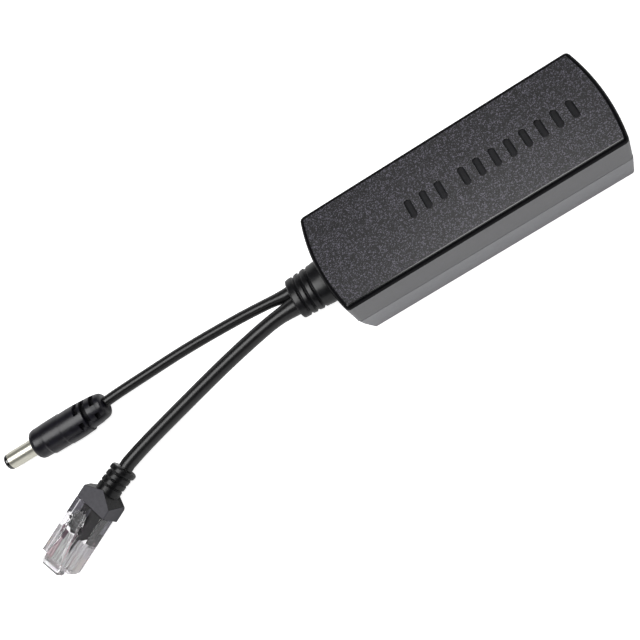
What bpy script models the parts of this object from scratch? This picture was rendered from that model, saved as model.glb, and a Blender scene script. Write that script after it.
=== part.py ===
"""PoE splitter: a slim plastic box with a network socket in one bowed end and, out of the
other, a ribbed strain relief with two short leads: a network plug lead and a DC plug lead.
Metres, +Z up. The box stands on its bottom: +X points to the socket end, -Y to the front."""

import math

import bmesh
import bpy
from mathutils import Matrix, Vector

MM = 0.001

# Clearances
GAP = 0.3 * MM            # between pieces that touch
SEAM_GAP = 0.3 * MM       # between the two halves of the box

# Box: its width and height follow from what it holds and are worked out below
BOX_LENGTH = 90.6 * MM    # over both bowed ends
SEAM_HEIGHT = 9.9 * MM    # centre of the seam between the halves
CORD_END_BOW = 2.3 * MM
SOCKET_END_BOW = 2.0 * MM
CORNER_RADIUS = 0.9 * MM
RIM_RADIUS = 1.0 * MM
FOOT_RADIUS = 0.4 * MM
DRAFT = 0.55 * MM         # how far the lower half draws in at the bottom
WALL = 2.2 * MM
SKIRT = 1.0 * MM          # outer skin beside the tongue in the seam
FLOOR = 1.9 * MM
TONGUE_RISE = 1.7 * MM

# Recessed bars on the lid
BAR_WIDTH = 1.9 * MM
BAR_LENGTH = 6.2 * MM
BAR_DEPTH = 0.35 * MM
BAR_PITCH = 4.75 * MM
BAR_START_X = -14.2 * MM
BAR_GROUPS = (3, 8)
BAR_GROUP_SPACE = 2.6 * MM

# Network socket (8 position)
SOCKET_WIDTH = 15.8 * MM
SOCKET_HEIGHT = 13.2 * MM
SOCKET_DEPTH = 17.6 * MM
SOCKET_INSET = 0.7 * MM     # its face lies this far inside the bowed end
SOCKET_OVERHANG = 3.6 * MM  # past the end of the board
HEADROOM = 0.4 * MM         # from the tallest part on the board to the lid
PORT_WIDTH = 11.9 * MM
PORT_HEIGHT = 6.8 * MM
PORT_DEPTH = 15.0 * MM
PORT_FLOOR = 2.5 * MM       # above the underside of the socket
LATCH_SLOT_WIDTH = 6.2 * MM
LATCH_SLOT_DROP = 1.5 * MM
CONTACT_PITCH = 1.02 * MM
CONTACT_COUNT = 8
SPRING_RADIUS = 0.2 * MM

# Circuit board
BOARD_THICKNESS = 1.6 * MM
BOARD_BOTTOM = 4.2 * MM
BOARD_EDGE = 0.25 * MM      # from the outermost parts to the board's edge
BOARD_SIDE_GAP = 1.45 * MM  # from the board to the side walls
SIDE_GAP = 0.55 * MM        # from a middle part to the part beside it
POST_RADIUS = 2.0 * MM
POST_INSET = 3.2 * MM

# Rows of parts on the board, from the socket to the wires, with even gaps between the rows
ROW_GAP_COUNT = 5
NETWORK_TRANSFORMER_LENGTH = 9.6 * MM
NETWORK_TRANSFORMER_WIDTH = 12.8 * MM
NETWORK_TRANSFORMER_HEIGHT = 5.6 * MM
CORE_LENGTH = 15.0 * MM
CORE_WIDTH = 12.0 * MM
CORE_HEIGHT = 11.5 * MM
CORE_LEG = 2.8 * MM
CORE_YOKE = 2.6 * MM
WINDING_WIDTH = 16.0 * MM
INDUCTOR_RADIUS = 3.9 * MM
INDUCTOR_WIRE_RADIUS = 2.0 * MM
INPUT_CAN_RADIUS = 4.0 * MM
INPUT_CAN_HEIGHT = 12.0 * MM
INPUT_CAN_GAP = 3.1 * MM
DIODE_LENGTH = 6.8 * MM
DIODE_WIDTH = 5.4 * MM
OUTPUT_CAN_RADIUS = 3.15 * MM
OUTPUT_CAN_HEIGHT = 11.0 * MM
OUTPUT_CAN_GAP = 2.35 * MM
WIRE_LAND = 2.5 * MM        # board past the wires' ends
WIRE_DROP = 4.15 * MM       # from the board's end to where the wires start

# Small parts beside the rows
RECTIFIER_LENGTH = 4.8 * MM
RECTIFIER_WIDTH = 3.9 * MM
RECTIFIER_LEAD = 1.0 * MM   # its centre past the socket's back
CHIP_LENGTH = 5.0 * MM
CHIP_WIDTH = 3.9 * MM
TRANSISTOR_LENGTH = 6.1 * MM
TRANSISTOR_WIDTH = 5.4 * MM
OPTOCOUPLER_LENGTH = 4.6 * MM
OPTOCOUPLER_WIDTH = 3.8 * MM
LOW_PART_HEIGHT = 2.0 * MM

# Leads
DATA_CABLE_RADIUS = 2.3 * MM
POWER_CABLE_RADIUS = 1.7 * MM
DATA_CABLE_Y = -1.9 * MM  # where each lead leaves the strain relief
POWER_CABLE_Y = 2.6 * MM
POWER_WIRE_RADIUS = 0.6 * MM
DATA_WIRE_RADIUS = 0.45 * MM

# Strain relief
RELIEF_CENTRE_Z = 11.0 * MM
RELIEF_REACH = 11.3 * MM    # how far it stands out of the box
COLLAR_REACH = 4.8 * MM
COLLAR_HALF_STRAIGHT = 1.6 * MM
COLLAR_RADIUS = 5.2 * MM
RELIEF_END_RADIUS = 4.6 * MM
RIB_COUNT = 3
GROOVE_WIDTH = 0.75 * MM
GROOVE_DEPTH = 0.75 * MM
FLANGE_RADIUS = 6.3 * MM
FLANGE_THICKNESS = 1.8 * MM

# Data plug: its boot starts here and points along the heading
DATA_PLUG_PLACE = (-128.1 * MM, -14.4 * MM)
DATA_PLUG_HEADING = 209.0
BOOT_LENGTH = 14.8 * MM
HOOD_LENGTH = 3.9 * MM
HOOD_TAPER = 2.9 * MM
HOOD_WIDTH = 12.2 * MM
HOOD_HEIGHT = 8.0 * MM
NECK_RADIUS = 3.9 * MM
NECK_CORE_RADIUS = 3.25 * MM
BOOT_RING_RADIUS = 4.0 * MM
PLUG_WIDTH = 11.7 * MM
PLUG_THICKNESS = 6.6 * MM
PLUG_LENGTH = 19.9 * MM
PLUG_LIFT = 1.3 * MM
LATCH_WIDTH = 6.0 * MM
LATCH_THICKNESS = 1.0 * MM
LATCH_RISE = 1.9 * MM
TONGUE_LENGTH = 8.6 * MM  # the boot's tongue inside the plug
TONGUE_WIDTH = 9.0 * MM
TONGUE_HEIGHT = 3.4 * MM
SHOULDER_SETBACK = 2.0 * MM  # beside the latch's root, on the latch side
SHOULDER_DROP = 3.0 * MM
NOSE_CHAMFER = 1.8 * MM
BLADE_THICKNESS = 0.34 * MM
BLADE_LENGTH = 4.8 * MM
BLADE_HEIGHT = 2.75 * MM
BLADE_SETBACK = 1.2 * MM  # from the nose
BLADE_RECESS = 0.35 * MM  # above the plug's contact side

# Power plug: its grip starts here and points along -X
POWER_PLUG_PLACE = (-125.4 * MM, 6.6 * MM)
POWER_PLUG_HEADING = 180.0
GRIP_LENGTH = 26.6 * MM
GRIP_RADIUS = 4.9 * MM
SLEEVE_RADIUS = 2.75 * MM
SLEEVE_BORE = 2.3 * MM
SLEEVE_LENGTH = 10.8 * MM
SLEEVE_SEAT = 6.0 * MM    # how deep the sleeve sits in the grip
TIP_BORE = 1.05 * MM

# What follows from the sizes above
BOARD_WIDTH = 2 * (BOARD_EDGE + SIDE_GAP + max(
    SOCKET_WIDTH / 2 + RECTIFIER_WIDTH, WINDING_WIDTH / 2 + OPTOCOUPLER_WIDTH,
    NETWORK_TRANSFORMER_WIDTH / 2 + TRANSISTOR_WIDTH))
BOX_WIDTH = BOARD_WIDTH + 2 * (BOARD_SIDE_GAP + WALL)
BOX_HEIGHT = BOARD_BOTTOM + BOARD_THICKNESS + GAP + HEADROOM + FLOOR + max(
    SOCKET_HEIGHT, CORE_HEIGHT, INPUT_CAN_HEIGHT, OUTPUT_CAN_HEIGHT)
SOCKET_FACE_X = BOX_LENGTH / 2 - SOCKET_INSET
SOCKET_BACK_X = SOCKET_FACE_X - SOCKET_DEPTH
WIRE_START_X = -BOX_LENGTH / 2 + WALL + DRAFT + GAP + FLANGE_THICKNESS + GAP
WIRE_END_X = WIRE_START_X + WIRE_DROP + WIRE_LAND
ROW_GAP = (SOCKET_BACK_X - WIRE_END_X - NETWORK_TRANSFORMER_LENGTH - CORE_LENGTH - DIODE_LENGTH
           - 2 * (INDUCTOR_RADIUS + INDUCTOR_WIRE_RADIUS)) / ROW_GAP_COUNT
BOARD_LENGTH = SOCKET_FACE_X - SOCKET_OVERHANG - WIRE_END_X + WIRE_LAND
BOARD_CENTRE_X = SOCKET_FACE_X - SOCKET_OVERHANG - BOARD_LENGTH / 2
RELIEF_END_X = -BOX_LENGTH / 2 - RELIEF_REACH
COLLAR_END_X = -BOX_LENGTH / 2 - COLLAR_REACH


def clear_scene():
    """Remove what the file opened with."""
    for obj in list(bpy.data.objects):
        bpy.data.objects.remove(obj)


def new_collection(name):
    collection = bpy.data.collections.new(name)
    bpy.context.scene.collection.children.link(collection)
    return collection


clear_scene()
PARTS = new_collection("poe_splitter")
CUTTERS = new_collection("cutters")


def material(name, rgb, roughness, metallic=0.0, transmission=0.0):
    """A Principled material, made once for each name."""
    mat = bpy.data.materials.get(name)
    if mat is None:
        mat = bpy.data.materials.new(name)
        mat.use_nodes = True
        shader = mat.node_tree.nodes["Principled BSDF"]
        shader.inputs["Base Color"].default_value = (*rgb, 1.0)
        shader.inputs["Roughness"].default_value = roughness
        shader.inputs["Metallic"].default_value = metallic
        shader.inputs["Transmission Weight"].default_value = transmission
    return mat


def black_case():
    return material("black_abs", (0.045, 0.044, 0.050), 0.42)


def black_pvc():
    return material("black_pvc", (0.012, 0.012, 0.013), 0.30)


def clear_plastic():
    return material("clear_polycarbonate", (0.80, 0.80, 0.82), 0.12, transmission=0.8)


def nickel():
    return material("nickel_plate", (0.62, 0.61, 0.56), 0.22, metallic=1.0)


def gold():
    return material("gold_plate", (0.83, 0.62, 0.26), 0.25, metallic=1.0)


def dark_epoxy():
    return material("dark_epoxy", (0.02, 0.02, 0.022), 0.5)


def add_object(name, data, mat, parent=None, collection=None):
    obj = bpy.data.objects.new(name, data)
    (collection or PARTS).objects.link(obj)
    if mat is not None:
        data.materials.append(mat)
    if parent is not None:
        obj.parent = parent
    return obj


def mesh_object(name, bm, mat, parent=None, smooth=30.0, collection=None):
    """Close a bmesh into a named object, faces out, curved faces shaded smooth."""
    bmesh.ops.recalc_face_normals(bm, faces=bm.faces)
    mesh = bpy.data.meshes.new(name)
    bm.to_mesh(mesh)
    bm.free()
    if smooth:
        mesh.shade_smooth()
        mesh.set_sharp_from_angle(angle=math.radians(smooth))
    return add_object(name, mesh, mat, parent, collection)


def empty(name, place, heading):
    obj = bpy.data.objects.new(name, None)
    PARTS.objects.link(obj)
    obj.location = place
    obj.rotation_euler = (0, 0, math.radians(heading))
    return obj


def box_mesh(low, high):
    """A bmesh box from its low corner to its high corner."""
    bm = bmesh.new()
    size = Vector(high) - Vector(low)
    middle = (Vector(high) + Vector(low)) / 2
    bmesh.ops.create_cube(bm, size=1.0, matrix=Matrix.Translation(middle) @ Matrix.Diagonal((*size, 1)))
    return bm


def box(name, low, high, mat, parent=None, edge=0.0, collection=None):
    """A box with slightly rounded edges."""
    bm = box_mesh(low, high)
    if edge:
        bmesh.ops.bevel(bm, geom=bm.edges[:], offset=edge, segments=1, profile=0.5,
                        affect="EDGES", material=-1)
    return mesh_object(name, bm, mat, parent, 0, collection)


def cylinder(name, radius, low, high, place, mat, parent=None, segments=24, edge=0.0, axis="Z",
             collection=None):
    """A cylinder from low to high along its axis, at a place across it."""
    bm = bmesh.new()
    bmesh.ops.create_cone(bm, cap_ends=True, segments=segments, radius1=radius, radius2=radius,
                          depth=high - low)
    if edge:
        rims = [e for e in bm.edges if abs(e.verts[0].co.z - e.verts[1].co.z) < 1e-7]
        bmesh.ops.bevel(bm, geom=rims, offset=edge, segments=2, profile=0.5, affect="EDGES",
                        material=-1)
    bmesh.ops.translate(bm, vec=(0, 0, (low + high) / 2), verts=bm.verts)
    if axis == "X":
        bmesh.ops.rotate(bm, matrix=Matrix.Rotation(math.radians(90), 3, "Y"), verts=bm.verts)
    bmesh.ops.translate(bm, vec=place, verts=bm.verts)
    return mesh_object(name, bm, mat, parent, 40, collection)


def loft(name, levels, outline, mat, parent=None, smooth=30.0, collection=None):
    """Extrude an outline through (height, setting) levels; outline(setting) gives its points."""
    height, setting = levels[0]
    bm = bmesh.new()
    cap = bm.faces.new([bm.verts.new((x, y, height)) for x, y in outline(setting)])
    for index, (height, setting) in enumerate(levels[1:]):
        base = cap
        made = bmesh.ops.extrude_face_region(bm, geom=[base])["geom"]
        cap = next(item for item in made if isinstance(item, bmesh.types.BMFace))
        if index:
            bmesh.ops.delete(bm, geom=[base], context="FACES_ONLY")
        for vert, (x, y) in zip(cap.verts, outline(setting)):
            vert.co = (x, y, height)
    return mesh_object(name, bm, mat, parent, smooth, collection)


def turned(name, profile, mat, parent=None, steps=24):
    """A profile of (radius, height) points, outer side top to bottom, spun about its Z axis."""
    bm = bmesh.new()
    closed = profile[0] == profile[-1]
    verts = [bm.verts.new((radius, 0, height)) for radius, height in profile[:len(profile) - closed]]
    for one, two in zip(verts, verts[1:] + verts[:closed]):
        bm.edges.new((one, two))
    mesh = bpy.data.meshes.new(name)
    bm.to_mesh(mesh)
    bm.free()
    obj = add_object(name, mesh, mat, parent)
    screw = obj.modifiers.new("spin", "SCREW")
    screw.steps = steps
    screw.render_steps = steps
    screw.use_merge_vertices = True
    screw.merge_threshold = 0.00002
    return obj


def as_cutter(obj):
    obj.hide_render = True
    obj.display_type = "WIRE"
    return obj


def combine(obj, tool, operation):
    """Cut with or join a tool object, which then serves as a guide only."""
    as_cutter(tool)
    modifier = obj.modifiers.new(operation.lower(), "BOOLEAN")
    modifier.operation = operation
    modifier.solver = "EXACT"
    modifier.object = tool


def cut(obj, tool):
    combine(obj, tool, "DIFFERENCE")


def join(obj, tool):
    combine(obj, tool, "UNION")


def box_cutter(name, low, high, parent=None):
    return box(name, low, high, None, parent, collection=CUTTERS)


def smooth_route(points, spacing):
    """Read evenly spaced points from a Catmull-Rom curve through the route's own points.

    The first and last stretch stay straight, square to what the cord meets."""
    route = [Vector(p) for p in points]
    fine = []
    for a, b, c, d in zip(route, route[1:], route[2:], route[3:]):
        for step in range(24):
            t = step / 24
            fine.append(0.5 * ((2 * b) + (c - a) * t + (2 * a - 5 * b + 4 * c - d) * t * t
                               + (3 * b - a - 3 * c + d) * t ** 3))
    fine.append(route[-2])
    lengths = [0.0]
    for one, two in zip(fine, fine[1:]):
        lengths.append(lengths[-1] + (two - one).length)
    count = max(2, round(lengths[-1] / spacing))
    samples, index = [route[0]], 0
    for step in range(count + 1):
        target = lengths[-1] * step / count
        while index < len(fine) - 2 and lengths[index + 1] < target:
            index += 1
        part = (target - lengths[index]) / (lengths[index + 1] - lengths[index])
        samples.append(fine[index].lerp(fine[index + 1], min(1.0, part)))
    return samples + [route[-1]]


def tube(name, points, radius, mat, parent=None, resolution=2):
    """A round cord or wire: a poly curve with a bevel and filled caps."""
    curve = bpy.data.curves.new(name, "CURVE")
    curve.dimensions = "3D"
    curve.bevel_depth = radius
    curve.bevel_resolution = resolution
    curve.use_fill_caps = True
    spline = curve.splines.new("POLY")
    spline.points.add(len(points) - 1)
    for point, place in zip(spline.points, points):
        point.co = (*place, 1.0)
    return add_object(name, curve, mat, parent)


def mirrored(x_y_points):
    return [(x, -y) for x, y in reversed(x_y_points)]


def bowed_end(bow, inset, arc_steps=10, corner_steps=3):
    """One bowed end, from its front corner to its back corner, as if it faced +X."""
    half = BOX_WIDTH / 2 - inset
    radius = ((BOX_WIDTH / 2) ** 2 + bow ** 2) / (2 * bow)
    centre = BOX_LENGTH / 2 - radius
    radius -= inset
    blend = max(CORNER_RADIUS - inset, 0.3 * MM)
    reach = math.asin(half / radius) - blend / radius
    arc = []
    for step in range(arc_steps + 1):
        angle = reach * (2 * step / arc_steps - 1)
        arc.append((centre + radius * math.cos(angle), radius * math.sin(angle)))
    start = Vector(arc[-1])
    corner = Vector((centre + radius * math.cos(reach + blend / radius), half))
    finish = corner - Vector((blend, 0))
    fillet = []
    for step in range(1, corner_steps + 1):
        t = step / corner_steps
        point = start * (1 - t) ** 2 + corner * 2 * t * (1 - t) + finish * t * t
        fillet.append((point.x, point.y))
    return mirrored(fillet) + arc + fillet


def box_outline(inset):
    """Plan outline of the box, set in from its outer face."""
    socket_end = bowed_end(SOCKET_END_BOW, inset)
    cord_end = [(-x, y) for x, y in reversed(bowed_end(CORD_END_BOW, inset))]
    return socket_end + cord_end


def quarter_round(radius, steps):
    """(inset, drop) pairs down a rounded edge, from the flat face to the side face."""
    pairs = []
    for step in range(steps + 1):
        angle = math.radians(90) * step / steps
        pairs.append((radius * (1 - math.sin(angle)), radius * (1 - math.cos(angle))))
    return pairs


def obround(half_straight, radius, steps=8):
    """A slot outline, long along Y, with round ends."""
    points = []
    for side in (1, -1):
        for step in range(steps + 1):
            angle = math.radians(180) * step / steps + (0 if side > 0 else math.radians(180))
            points.append((radius * math.cos(angle), side * half_straight + radius * math.sin(angle)))
    return points


def relief_passage(name, clearance):
    """The slot through the end wall that the strain relief's collar fills."""
    def outline(extra):
        return obround(COLLAR_HALF_STRAIGHT, COLLAR_RADIUS + extra)
    tool = loft(name, [(-BOX_LENGTH / 2 - 2 * MM, clearance), (-BOX_LENGTH / 2 + 6 * MM, clearance)],
                outline, None, collection=CUTTERS)
    tool.rotation_euler = (0, math.radians(90), 0)
    tool.location = (0, 0, RELIEF_CENTRE_Z)
    return tool


def socket_passage(name):
    """The opening in the end wall around the network socket."""
    return box_cutter(name, (SOCKET_FACE_X - 8 * MM, -SOCKET_WIDTH / 2 - GAP, socket_bottom() - GAP),
                      (BOX_LENGTH / 2 + 3 * MM, SOCKET_WIDTH / 2 + GAP,
                       socket_bottom() + SOCKET_HEIGHT + GAP))


def board_top():
    return BOARD_BOTTOM + BOARD_THICKNESS


def socket_bottom():
    return board_top() + GAP


def make_top_cover():
    """Upper half: lid with a rounded rim, walls, and a rebate that takes the lower half's tongue."""
    edge = SEAM_HEIGHT + SEAM_GAP / 2
    rebate_top = SEAM_HEIGHT - SEAM_GAP / 2 + TONGUE_RISE + GAP
    levels = [(BOX_HEIGHT - drop, inset) for inset, drop in quarter_round(RIM_RADIUS, 3)]
    levels += [(edge, 0.0), (edge, SKIRT), (rebate_top, SKIRT), (rebate_top, WALL),
               (BOX_HEIGHT - FLOOR, WALL)]
    cover = loft("top_cover", levels, box_outline, black_case())
    cut(cover, lid_bars())
    cut(cover, relief_passage("relief_passage_top", GAP))
    cut(cover, socket_passage("socket_passage_top"))
    return cover


def lid_bars():
    """Two rows of shallow rounded bars pressed into the lid, as one cutter."""
    bm = bmesh.new()
    x = BAR_START_X
    for count in BAR_GROUPS:
        for _ in range(count):
            base = obround((BAR_LENGTH - BAR_WIDTH) / 2, BAR_WIDTH / 2, 4)
            face = bm.faces.new([bm.verts.new((x + px, py, BOX_HEIGHT - BAR_DEPTH)) for px, py in base])
            made = bmesh.ops.extrude_face_region(bm, geom=[face])["geom"]
            raised = [v for v in made if isinstance(v, bmesh.types.BMVert)]
            bmesh.ops.translate(bm, vec=(0, 0, 1.5 * MM), verts=raised)
            x += BAR_PITCH
        x += BAR_GROUP_SPACE
    return mesh_object("lid_bars", bm, None, collection=CUTTERS)


def make_bottom_case():
    """Lower half: drawn-in walls, floor, seam tongue and four posts under the circuit board."""
    edge = SEAM_HEIGHT - SEAM_GAP / 2
    tongue_inset = SKIRT + GAP
    levels = [(drop, DRAFT + inset) for inset, drop in quarter_round(FOOT_RADIUS, 2)]
    levels += [(edge, 0.0), (edge, tongue_inset), (edge + TONGUE_RISE, tongue_inset),
               (edge + TONGUE_RISE, WALL), (FLOOR, WALL + DRAFT)]
    case = loft("bottom_case", levels, box_outline, black_case())
    for index, (x, y) in enumerate(post_places()):
        post = cylinder(f"board_post_{index + 1}", POST_RADIUS, FLOOR - 0.5 * MM, BOARD_BOTTOM - GAP,
                        (x, y, 0), None, segments=12, collection=CUTTERS)
        join(case, post)
    cut(case, relief_passage("relief_passage_bottom", GAP))
    cut(case, socket_passage("socket_passage_bottom"))
    return case


def post_places():
    half_x = BOARD_LENGTH / 2 - POST_INSET
    half_y = BOARD_WIDTH / 2 - POST_INSET
    return [(BOARD_CENTRE_X + sx * half_x, sy * half_y) for sx in (-1, 1) for sy in (-1, 1)]


def relief_inner_x():
    """Where the flange faces the inside of the end wall."""
    return -BOX_LENGTH / 2 + WALL + DRAFT + GAP


def make_strain_relief():
    """Collar through the end wall, three ribs that shrink outwards, a flange inside the box."""
    wall_side = relief_inner_x()
    end = -RELIEF_END_X
    collar_end = -COLLAR_END_X
    rib_pitch = (end - collar_end) / RIB_COUNT

    def section(radius):
        return obround(COLLAR_HALF_STRAIGHT, radius)

    def radius_at(distance):
        part = (distance - collar_end) / (end - collar_end)
        return COLLAR_RADIUS - GAP + (RELIEF_END_RADIUS - COLLAR_RADIUS + GAP) * max(0.0, part)

    levels = [(-wall_side - FLANGE_THICKNESS, FLANGE_RADIUS), (-wall_side, FLANGE_RADIUS),
              (-wall_side, COLLAR_RADIUS), (BOX_LENGTH / 2 + 1.2 * MM, COLLAR_RADIUS),
              (collar_end - 0.25 * MM, COLLAR_RADIUS - 0.2 * MM), (collar_end, COLLAR_RADIUS - 0.5 * MM)]
    for rib in range(RIB_COUNT):
        start = collar_end + rib * rib_pitch
        finish = start + rib_pitch
        crown = radius_at((start + finish) / 2)
        levels += [(start + 0.1 * MM, crown - GROOVE_DEPTH), (start + GROOVE_WIDTH, crown - GROOVE_DEPTH),
                   (start + GROOVE_WIDTH + 0.1 * MM, crown - 0.2 * MM),
                   (start + GROOVE_WIDTH + 0.35 * MM, crown), (finish - 0.25 * MM, crown),
                   (finish, crown - 0.25 * MM)]
    relief = loft("strain_relief", levels, section, black_pvc())
    relief.rotation_euler = (0, math.radians(-90), 0)
    relief.location = (0, 0, RELIEF_CENTRE_Z)
    return relief


def make_data_cable():
    """Network lead, from the strain relief down to the network plug's boot."""
    heading = Vector((math.cos(math.radians(DATA_PLUG_HEADING)),
                      math.sin(math.radians(DATA_PLUG_HEADING)), 0))
    last = Vector((*DATA_PLUG_PLACE, HOOD_HEIGHT / 2)) - heading * GAP * 1.2
    last += Vector((-heading.y, heading.x, 0)) * 0.4 * MM
    first = Vector((RELIEF_END_X - GAP, DATA_CABLE_Y, RELIEF_CENTRE_Z))
    route = [first, first + Vector((-1.5 * MM, 0, 0)),
             Vector((-67.0 * MM, -2.3 * MM, 10.3 * MM)), Vector((-83.0 * MM, -4.7 * MM, 8.6 * MM)),
             Vector((-102.4 * MM, -8.5 * MM, 6.3 * MM)), Vector((-117.4 * MM, -11.8 * MM, 4.7 * MM)),
             last - heading * 1.6 * MM, last]
    return tube("data_cable", smooth_route(route, 1.9 * 2 * DATA_CABLE_RADIUS),
                DATA_CABLE_RADIUS, black_pvc(), resolution=3)


def make_power_cable():
    """DC lead, from the strain relief down to the power plug's grip."""
    last = Vector((*POWER_PLUG_PLACE, GRIP_RADIUS)) + Vector((GAP, 0.4 * MM, 0))
    first = Vector((RELIEF_END_X - GAP, POWER_CABLE_Y, RELIEF_CENTRE_Z))
    route = [first, first + Vector((-1.5 * MM, 0, 0)),
             Vector((-65.6 * MM, 3.9 * MM, 10.3 * MM)), Vector((-77.8 * MM, 5.6 * MM, 8.6 * MM)),
             Vector((-94.6 * MM, 7.1 * MM, 6.5 * MM)), Vector((-110.0 * MM, 7.4 * MM, 5.3 * MM)),
             Vector((-119.5 * MM, 7.3 * MM, 4.95 * MM)), last + Vector((1.5 * MM, 0.1 * MM, 0)), last]
    return tube("power_cable", smooth_route(route, 1.9 * 2 * POWER_CABLE_RADIUS),
                POWER_CABLE_RADIUS, black_pvc(), resolution=2)


def hood_section(width, height, cut_y, cut_z):
    """An eight-sided section: across Y, up X before the loft is laid over."""
    w, h = width / 2, height / 2
    return [(h, -w + cut_y), (h, w - cut_y), (h - cut_z, w), (-h + cut_z, w),
            (-h, w - cut_y), (-h, -w + cut_y), (-h + cut_z, -w), (h - cut_z, -w)]


def make_data_plug_boot(plug):
    """Moulded boot: ring and ribbed neck at the lead, faceted hood, and a tongue in the plug."""
    hood_start = BOOT_LENGTH - HOOD_LENGTH - HOOD_TAPER
    neck = 2 * (NECK_RADIUS + 0.05 * MM)
    sections = {
        "neck": (neck, neck, NECK_RADIUS * 0.586, NECK_RADIUS * 0.586),
        "hood": (HOOD_WIDTH, HOOD_HEIGHT, 0.45 * MM, 0.45 * MM),
        "tongue": (TONGUE_WIDTH, TONGUE_HEIGHT, 0.6 * MM, 0.6 * MM),
    }
    levels = [(hood_start - 0.4 * MM, "neck"), (hood_start, "neck"), (hood_start + HOOD_TAPER, "hood"),
              (BOOT_LENGTH, "hood"), (BOOT_LENGTH, "tongue"), (BOOT_LENGTH + TONGUE_LENGTH, "tongue")]
    hood = loft("data_plug_boot", levels, lambda key: hood_section(*sections[key]), black_pvc(), plug, 25)
    hood.rotation_euler = (0, math.radians(90), 0)
    hood.location = (0, 0, HOOD_HEIGHT / 2)
    join(hood, boot_neck(plug, hood_start))
    for side in (-1, 1):
        web = box_cutter(f"boot_web_{'front' if side > 0 else 'back'}",
                         (1.0 * MM, -0.75 * MM, HOOD_HEIGHT / 2 + (0 if side > 0 else -NECK_RADIUS + 0.1 * MM)),
                         (hood_start, 0.75 * MM, HOOD_HEIGHT / 2 + (NECK_RADIUS - 0.1 * MM if side > 0 else 0)),
                         plug)
        join(hood, web)
    return hood


def boot_neck(plug, length):
    """Turned neck with three grooves and the larger ring where the lead goes in."""
    pitch = (length - 1.9 * MM) / 3
    profile = [(0, length + 0.2 * MM), (NECK_RADIUS, length + 0.2 * MM)]
    height = length
    for _ in range(3):
        profile += [(NECK_RADIUS, height - pitch + GROOVE_WIDTH),
                    (NECK_CORE_RADIUS, height - pitch + GROOVE_WIDTH - 0.1 * MM),
                    (NECK_CORE_RADIUS, height - pitch + 0.1 * MM), (NECK_RADIUS, height - pitch)]
        height -= pitch
    profile[-1] = (BOOT_RING_RADIUS - 0.3 * MM, height)
    profile += [(BOOT_RING_RADIUS, height - 0.4 * MM), (BOOT_RING_RADIUS, 0.45 * MM),
                (BOOT_RING_RADIUS - 0.45 * MM, 0), (0, 0)]
    neck = turned("boot_neck", profile, None, plug, 20)
    PARTS.objects.unlink(neck)
    CUTTERS.objects.link(neck)
    neck.rotation_euler = (0, math.radians(90), 0)
    neck.location = (0, 0, HOOD_HEIGHT / 2)
    return neck


def plug_start():
    return BOOT_LENGTH + GAP


def plug_nose():
    return plug_start() + PLUG_LENGTH


def make_data_plug_body(plug):
    """Clear plug housing lying on its contact side, with its latch on top, as one moulding."""
    low, high = PLUG_LIFT, PLUG_LIFT + PLUG_THICKNESS
    half = PLUG_WIDTH / 2
    body = box("data_plug_body", (plug_start(), -half, low), (plug_nose(), half, high),
               clear_plastic(), plug, edge=0.25 * MM)
    join(body, latch_arm(plug, high))
    cavity_end = BOOT_LENGTH + TONGUE_LENGTH + GAP
    cavity = box_cutter("plug_cavity",
                        (plug_start() - 1 * MM, -TONGUE_WIDTH / 2 - GAP, (HOOD_HEIGHT - TONGUE_HEIGHT) / 2 - GAP),
                        (cavity_end, TONGUE_WIDTH / 2 + GAP, (HOOD_HEIGHT + TONGUE_HEIGHT) / 2 + GAP), plug)
    cut(body, cavity)
    blade_back = plug_nose() - BLADE_SETBACK - BLADE_LENGTH
    channel = box_cutter("plug_wire_channel",
                         (cavity_end - 1 * MM, -TONGUE_WIDTH / 2 + GAP, HOOD_HEIGHT / 2 - TONGUE_HEIGHT / 4),
                         (blade_back - 2 * GAP, TONGUE_WIDTH / 2 - GAP, HOOD_HEIGHT / 2 + TONGUE_HEIGHT / 4), plug)
    cut(body, channel)
    for index in range(CONTACT_COUNT):
        y = contact_y(index)
        slot = box_cutter(f"blade_slot_{index + 1}", (blade_back - GAP, y - BLADE_THICKNESS, low - 1 * MM),
                          (plug_nose() - BLADE_SETBACK + GAP, y + BLADE_THICKNESS,
                           low + BLADE_RECESS + BLADE_HEIGHT + GAP), plug)
        cut(body, slot)
    for side in (-1, 1):
        cut(body, shoulder_cutter(plug, side, high))
        cut(body, nose_corner_cutter(plug, side))
    return body


def shoulder_cutter(plug, side, deck):
    """Sets the deck back at the nose, beside the block that carries the latch."""
    inner, outer = side * LATCH_WIDTH / 2 + side * 0.2 * MM, side * (PLUG_WIDTH / 2 + 1 * MM)
    return box_cutter(f"nose_shoulder_{'left' if side < 0 else 'right'}",
                      (plug_nose() - SHOULDER_SETBACK, min(inner, outer), deck - SHOULDER_DROP),
                      (plug_nose() + 1 * MM, max(inner, outer), deck + 1 * MM), plug)


def nose_corner_cutter(plug, side):
    """Takes the nose's corner off in plan."""
    tip, edge = plug_nose() + 1 * MM, PLUG_WIDTH / 2 + 1 * MM
    reach = NOSE_CHAMFER + 2 * MM
    corner = [(tip, side * edge), (tip - reach, side * edge), (tip, side * (edge - reach))]
    bm = bmesh.new()
    face = bm.faces.new([bm.verts.new((x, y, 0)) for x, y in corner])
    made = bmesh.ops.extrude_face_region(bm, geom=[face])["geom"]
    raised = [v for v in made if isinstance(v, bmesh.types.BMVert)]
    bmesh.ops.translate(bm, vec=(0, 0, HOOD_HEIGHT + 4 * MM), verts=raised)
    return mesh_object(f"nose_corner_{'left' if side < 0 else 'right'}", bm, None, plug, 0, CUTTERS)


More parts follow.
